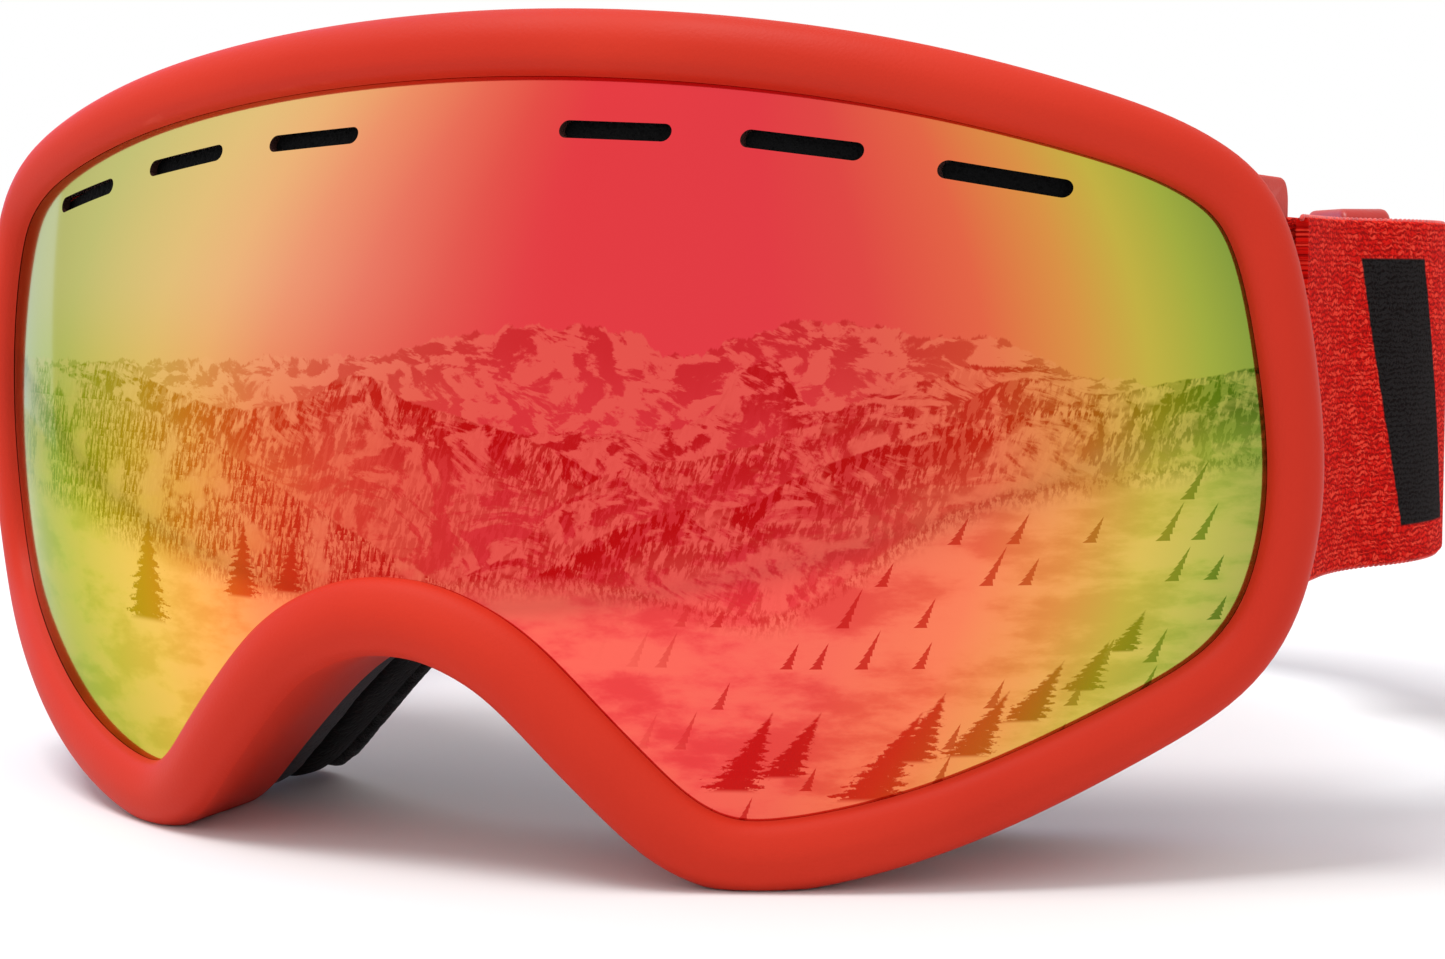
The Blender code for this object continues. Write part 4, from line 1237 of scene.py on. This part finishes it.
# ---------------------------------------------------------------- strap
def rounded_route(corners):
    """A route in plan of straight runs joined by arcs; corners are (x, y, radius)."""
    route = [Vector(corners[0][:2])]
    for run in zip(corners, corners[1:], corners[2:]):
        before, corner, after = (Vector(place[:2]) for place in run)
        radius = run[1][2]
        to_before, to_after = (before - corner).normalized(), (after - corner).normalized()
        half_turn = (math.pi - to_before.angle(to_after)) / 2
        reach = radius * math.tan(half_turn)
        start = corner + to_before * reach
        centre = corner + (to_before + to_after).normalized() * (radius / math.cos(half_turn))
        first, last = start - centre, corner + to_after * reach - centre
        steps = max(3, round(radius * 2 * half_turn / STRAP_STEP))
        turn = first.angle_signed(last)
        for step in range(steps + 1):
            route.append(centre + Matrix.Rotation(-turn * step / steps, 2) @ first)
    route.append(Vector(corners[-1][:2]))
    return np.array([tuple(point) for point in route])


def even_route(route, step):
    """The same route with places an even step apart; the route's length comes with it."""
    lengths = np.concatenate([[0], np.cumsum(np.linalg.norm(np.diff(route, axis=0), axis=1))])
    count = max(2, round(lengths[-1] / step) + 1)
    at = np.linspace(0, lengths[-1], count)
    return np.stack([np.interp(at, lengths, route[:, k]) for k in (0, 1)], 1), at


def half_strap_route():
    """The head strap's left half in plan, from the bar to the middle of the back."""
    x0 = WING_X + WING_THICKNESS + 2 * GAP + STRAP_THICKNESS * 1.5
    y0 = BAR_FRONT + BAR_DEPTH - STRAP_LAP
    corners = [(x0, y0, 0)] + [(x0 + dx, y0 + dy, radius) for dx, dy, radius in STRAP_ROUTE]
    return rounded_route(corners + [(0, corners[-1][1], 0)])


def webbing(name, route, start_along=0.0):
    """Flat webbing on edge along a route in plan, with soft selvedges and a map in metres."""
    places, at = even_route(np.asarray(route, float), STRAP_STEP)
    along = np.empty_like(places)
    along[1:-1] = places[2:] - places[:-2]
    along[0], along[-1] = places[1] - places[0], places[-1] - places[-2]
    thickness = STRAP_THICKNESS - 0.1
    section = round_box(thickness, STRAP_WIDTH, thickness / 2 - 0.02, 5)
    ring = []
    for (a, b), (_, b_after) in zip(section, section[1:] + section[:1]):
        ring.append((a, b))
        if abs(b_after - b) > STRAP_WIDTH / 2:
            ring += [(a, b + (b_after - b) * step / WEBBING_FLATS) for step in range(1, WEBBING_FLATS)]
    rows = np.array([[(*(place + side * a), STRAP_CENTRE_HEIGHT + b) for a, b in ring]
                     for place, side in zip(places, beside(unit(along)))])
    mesh = grid_mesh(name, world(rows), False, True, cap_ends=True)
    mapping = mesh.uv_layers.new(name="webbing")
    shares = np.array([((start_along + distance) * MM, b * MM) for distance in at for _, b in ring])
    loops = np.empty(len(mesh.loops), int)
    mesh.loops.foreach_get("vertex_index", loops)
    mapping.data.foreach_set("uv", shares[loops].ravel())
    obj = new_object(name, mesh, ELASTIC)
    shade(mesh, 60)
    return obj


def along_route(route, distance):
    """The place and the direction at a distance along a route."""
    for a, b in zip(route, route[1:]):
        step = float(np.linalg.norm(b - a))
        if distance <= step:
            return a + (b - a) * distance / step, unit(b - a)
        distance -= step
    return route[-1], unit(route[-1] - route[-2])


def stitch_tree():
    """Geometry Nodes: short plump stitches spaced along a curve, each turned to follow it."""
    tree = bpy.data.node_groups.new("stitches_along", "GeometryNodeTree")
    for label, kind, value in (("Curve", "Geometry", None), ("Spacing", "Float", 0.001),
                               ("Length", "Float", 0.0008), ("Width", "Float", 0.0003),
                               ("Turn", "Float", 0.0), ("Thread", "Material", None)):
        fill(tree.interface.new_socket(name=label, in_out="INPUT", socket_type="NodeSocket" + kind), value)
    tree.interface.new_socket(name="Stitches", in_out="OUTPUT", socket_type="NodeSocketGeometry")
    entry = tree.nodes.new("NodeGroupInput").outputs

    def place(kind, inputs, **settings):
        node = tree.nodes.new(kind)
        for key, value in settings.items():
            setattr(node, key, value)
        for label, value in inputs.items():
            if isinstance(value, bpy.types.NodeSocket):
                tree.links.new(value, node.inputs[label])
            else:
                node.inputs[label].default_value = value
        return node.outputs

    points = place("GeometryNodeCurveToPoints", {"Curve": entry["Curve"], "Length": entry["Spacing"]},
                   mode="LENGTH")
    bead = place("GeometryNodeMeshUVSphere", {"Segments": 8, "Rings": 5, "Radius": 1.0})
    half_length, half_width = [place("ShaderNodeMath", {0: entry[label], 1: 0.5}, operation="MULTIPLY")[0]
                               for label in ("Length", "Width")]
    size = place("ShaderNodeCombineXYZ", {"X": half_width, "Y": half_width, "Z": half_length})
    beads = place("GeometryNodeInstanceOnPoints", {"Points": points["Points"], "Instance": bead["Mesh"],
                                                   "Rotation": points["Rotation"], "Scale": size[0]})
    lean = place("ShaderNodeCombineXYZ", {"X": entry["Turn"]})
    turned = place("GeometryNodeRotateInstances", {"Instances": beads["Instances"], "Rotation": lean[0]})
    real = place("GeometryNodeRealizeInstances", {"Geometry": turned["Instances"]})
    sewn = place("GeometryNodeSetMaterial", {"Geometry": real["Geometry"], "Material": entry["Thread"]})
    tree.links.new(sewn["Geometry"], tree.nodes.new("NodeGroupOutput").inputs["Stitches"])
    return tree


STITCHES = stitch_tree()


def stitches(name, lines):
    """Selvedge stitches along one or more lines of points, as one plain mesh."""
    path = bpy.data.curves.new(name + "_path", "CURVE")
    path.dimensions = "3D"
    for line in lines:
        spline = path.splines.new("POLY")
        spline.points.add(len(line) - 1)
        spline.points.foreach_set("co", [c for point in world(line) for c in (*point, 1.0)])
    guide = new_object(name + "_guide", path)
    sewn = guide.modifiers.new("stitches", "NODES")
    sewn.node_group = STITCHES
    spacing, length, width, turn = STITCH
    values = {"Spacing": spacing * MM, "Length": length * MM, "Width": width * MM, "Turn": turn,
              "Thread": RED_THREAD}
    for item in STITCHES.interface.items_tree:
        if item.in_out == "INPUT" and item.name in values:
            sewn[item.identifier] = values[item.name]
    bpy.context.view_layer.update()
    evaluated = guide.evaluated_get(bpy.context.evaluated_depsgraph_get())
    mesh = bpy.data.meshes.new_from_object(evaluated)
    bpy.data.objects.remove(guide)
    bpy.data.curves.remove(path)
    mesh.name = name
    mesh.shade_smooth()
    if not mesh.materials:
        mesh.materials.append(RED_THREAD)
    obj = new_object(name, mesh)
    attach(obj, "strap")


def selvedge_lines(route):
    """Lines along both long edges of webbing that follows a route in plan."""
    places, _ = even_route(np.asarray(route, float), STRAP_STEP)
    half = STRAP_WIDTH / 2 - 0.1
    return [[(x, y, STRAP_CENTRE_HEIGHT + end * half) for x, y in places] for end in (1, -1)]


def loop_route(sign):
    """Webbing folded round the frame's bar: outer ply, front bend, inner ply."""
    middle = WING_X + WING_THICKNESS / 2
    half = WING_THICKNESS / 2 + GAP + STRAP_THICKNESS / 2
    rear = BAR_FRONT + BAR_DEPTH
    front = BAR_FRONT - GAP - STRAP_THICKNESS / 2
    bend = half * 0.62
    corners = [(middle + half, rear + LOOP_OUTER_LENGTH, 0), (middle + half, front, bend),
               (middle - half, front, bend), (middle - half, rear + LOOP_INNER_LENGTH, 0)]
    return [(sign * x, y) for x, y in rounded_route(corners)]


def make_strap():
    """The head strap, the webbing doubled back inside it and the loops round the bars."""
    half = half_strap_route()
    whole = np.concatenate([half, half[-2::-1] * (-1, 1)])
    strap = webbing("elastic_head_strap", whole)
    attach(strap, "strap")
    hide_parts("head_strap")
    stitches("strap_selvedge", selvedge_lines(whole))

    stations = np.linspace(TAIL_START, SLIDER_AT + TAIL_PAST_SLIDER, TAIL_STATIONS)
    tail = np.array([along_route(half, distance)[0] for distance in stations])
    inner = tail - beside(unit(np.gradient(tail, axis=0))) * (STRAP_THICKNESS + GAP)
    for side, sign in (("left", 1), ("right", -1)):
        route = inner * (sign, 1)
        ply = webbing(f"doubled_tail_{side}", route, TAIL_START)
        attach(ply, "strap")
        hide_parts(f"strap_tail_{side}")
        stitches(f"tail_selvedge_{side}", selvedge_lines(route))

        loop = webbing(f"bar_loop_{side}", loop_route(sign))
        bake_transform(loop)
        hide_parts(f"strap_end_loop_{side}")


# ---------------------------------------------------------------- sliders
def make_sliders():
    """Flat adjusters: two bars outside the strap, one inside it, joined above and below."""
    place, direction = along_route(half_strap_route(), SLIDER_AT)
    passage_out = STRAP_THICKNESS / 2 + SLIDER_PLAY
    passage_in = STRAP_THICKNESS * 1.5 + GAP + SLIDER_PLAY
    half_height = STRAP_WIDTH / 2 + SLIDER_PLAY
    for side, sign in (("left", 1), ("right", -1)):
        angle = math.atan2(direction[1], sign * direction[0])
        turn = (Matrix.Translation(world((sign * place[0], place[1], STRAP_CENTRE_HEIGHT)))
                @ Matrix.Rotation(angle, 4, "Z"))
        out_y, in_y = -sign * (passage_out + SLIDER_SKIN), sign * (passage_in + SLIDER_SKIN)
        window = SLIDER_LENGTH - 2 * SLIDER_BAR
        far = SLIDER_LENGTH

        def block(name, x0, x1, y0, y1, radius, height=2 * half_height, bevel=0.0):
            outline = in_plane("XZ", round_box(x1 - x0, height, radius))
            low, high = sorted((y0, y1))
            obj = extruded(name, outline, ((x0 + x1) / 2, low, 0), (0, high - low, 0), bevel)
            obj.data.transform(Matrix.Translation(-Vector(world((0, 0, 0)))))
            obj.data.transform(turn)
            return obj

        body = block(f"slider_{side}", -far / 2, far / 2, out_y, in_y, SLIDER_CORNER, SLIDER_HEIGHT,
                     SLIDER_EDGE)
        cut(body, [block("passage", -far, far, -sign * passage_out, sign * passage_in, SLIDER_PLAY),
                   block("outer_window", -window / 2, window / 2, 2 * out_y, 0, SLIDER_WINDOW_CORNER),
                   block("front_window", -far, -SLIDER_BAR / 2, 0, 2 * in_y, SLIDER_WINDOW_CORNER),
                   block("rear_window", SLIDER_BAR / 2, far, 0, 2 * in_y, SLIDER_WINDOW_CORNER)])
        dress(body, NYLON)
        shade(body.data, 40)
        keep(body, f"slider_{side}", f"strap_slider_{side}")


# ---------------------------------------------------------------- stage
FLOOR_DROP = 0.0002            # metres


def area_light(name, place, target, size, power, colour=(1, 1, 1)):
    """A softbox that looks from its place at the target."""
    lamp = bpy.data.lights.new(name, "AREA")
    lamp.shape = "RECTANGLE"
    lamp.size, lamp.size_y = size
    lamp.energy = power
    lamp.color = colour
    obj = bpy.data.objects.new(name, lamp)
    obj.location = place
    obj.rotation_euler = (Vector(target) - Vector(place)).to_track_quat("-Z", "Y").to_euler()
    bpy.context.scene.collection.objects.link(obj)


def make_floor():
    """A round pale floor, a hair below the goggles."""
    mesh = bpy.data.meshes.new("floor")
    bm = bmesh.new()
    bmesh.ops.create_circle(bm, cap_ends=True, segments=64, radius=6.0)
    bm.to_mesh(mesh)
    bm.free()
    mat = new_material("pale_floor", roughness=0.75, Base_Color=(0.77, 0.77, 0.77, 1),
                       Specular_IOR_Level=0.1)[0]
    floor = new_object("floor", mesh, mat)
    floor.location.z = -FLOOR_DROP


def make_studio():
    """Even white surroundings, a high softbox and a weak blue strip from the side."""
    scene = bpy.context.scene
    world_light = bpy.data.worlds.new("studio")
    world_light.use_nodes = True
    background = world_light.node_tree.nodes["Background"]
    background.inputs["Color"].default_value = (1, 1, 1, 1)
    background.inputs["Strength"].default_value = 1.0
    scene.world = world_light
    middle = (0, -0.04, 0.04)
    area_light("key_softbox", (-0.38, -0.44, 1.50), middle, (0.6, 0.6), 16.5)
    area_light("side_strip", (-1.07, 0.52, 0.70), (-0.08, -0.05, 0.70), (0.65, 1.6), 3.6, (0.16, 0.22, 1.0))
    scene.view_settings.view_transform = "Standard"


# angles round and above the goggles; metres; millimetres of focal length
CAMERA_AZIMUTH = math.radians(26.382)
CAMERA_ELEVATION = math.radians(4.396)
CAMERA_DISTANCE = 0.2550
CAMERA_TARGET = Vector((0.03832, -0.08629, 0.04227))
CAMERA_LENS = 64.54


def make_camera():
    lens = bpy.data.cameras.new("camera")
    lens.lens = CAMERA_LENS
    lens.sensor_width = 36
    lens.clip_start = 0.01
    camera = bpy.data.objects.new("camera", lens)
    back = Vector((math.sin(CAMERA_AZIMUTH) * math.cos(CAMERA_ELEVATION),
                   -math.cos(CAMERA_AZIMUTH) * math.cos(CAMERA_ELEVATION), math.sin(CAMERA_ELEVATION)))
    camera.location = CAMERA_TARGET + back * CAMERA_DISTANCE
    camera.rotation_euler = back.to_track_quat("Z", "Y").to_euler()
    bpy.context.scene.collection.objects.link(camera)
    bpy.context.scene.camera = camera


make_camera()
make_studio()
make_floor()
make_frame()
make_lenses()
make_face_foam()
make_slot_filters()
make_vent_foams()
make_spacer()
make_strap()
make_sliders()

bpy.context.view_layer.update()
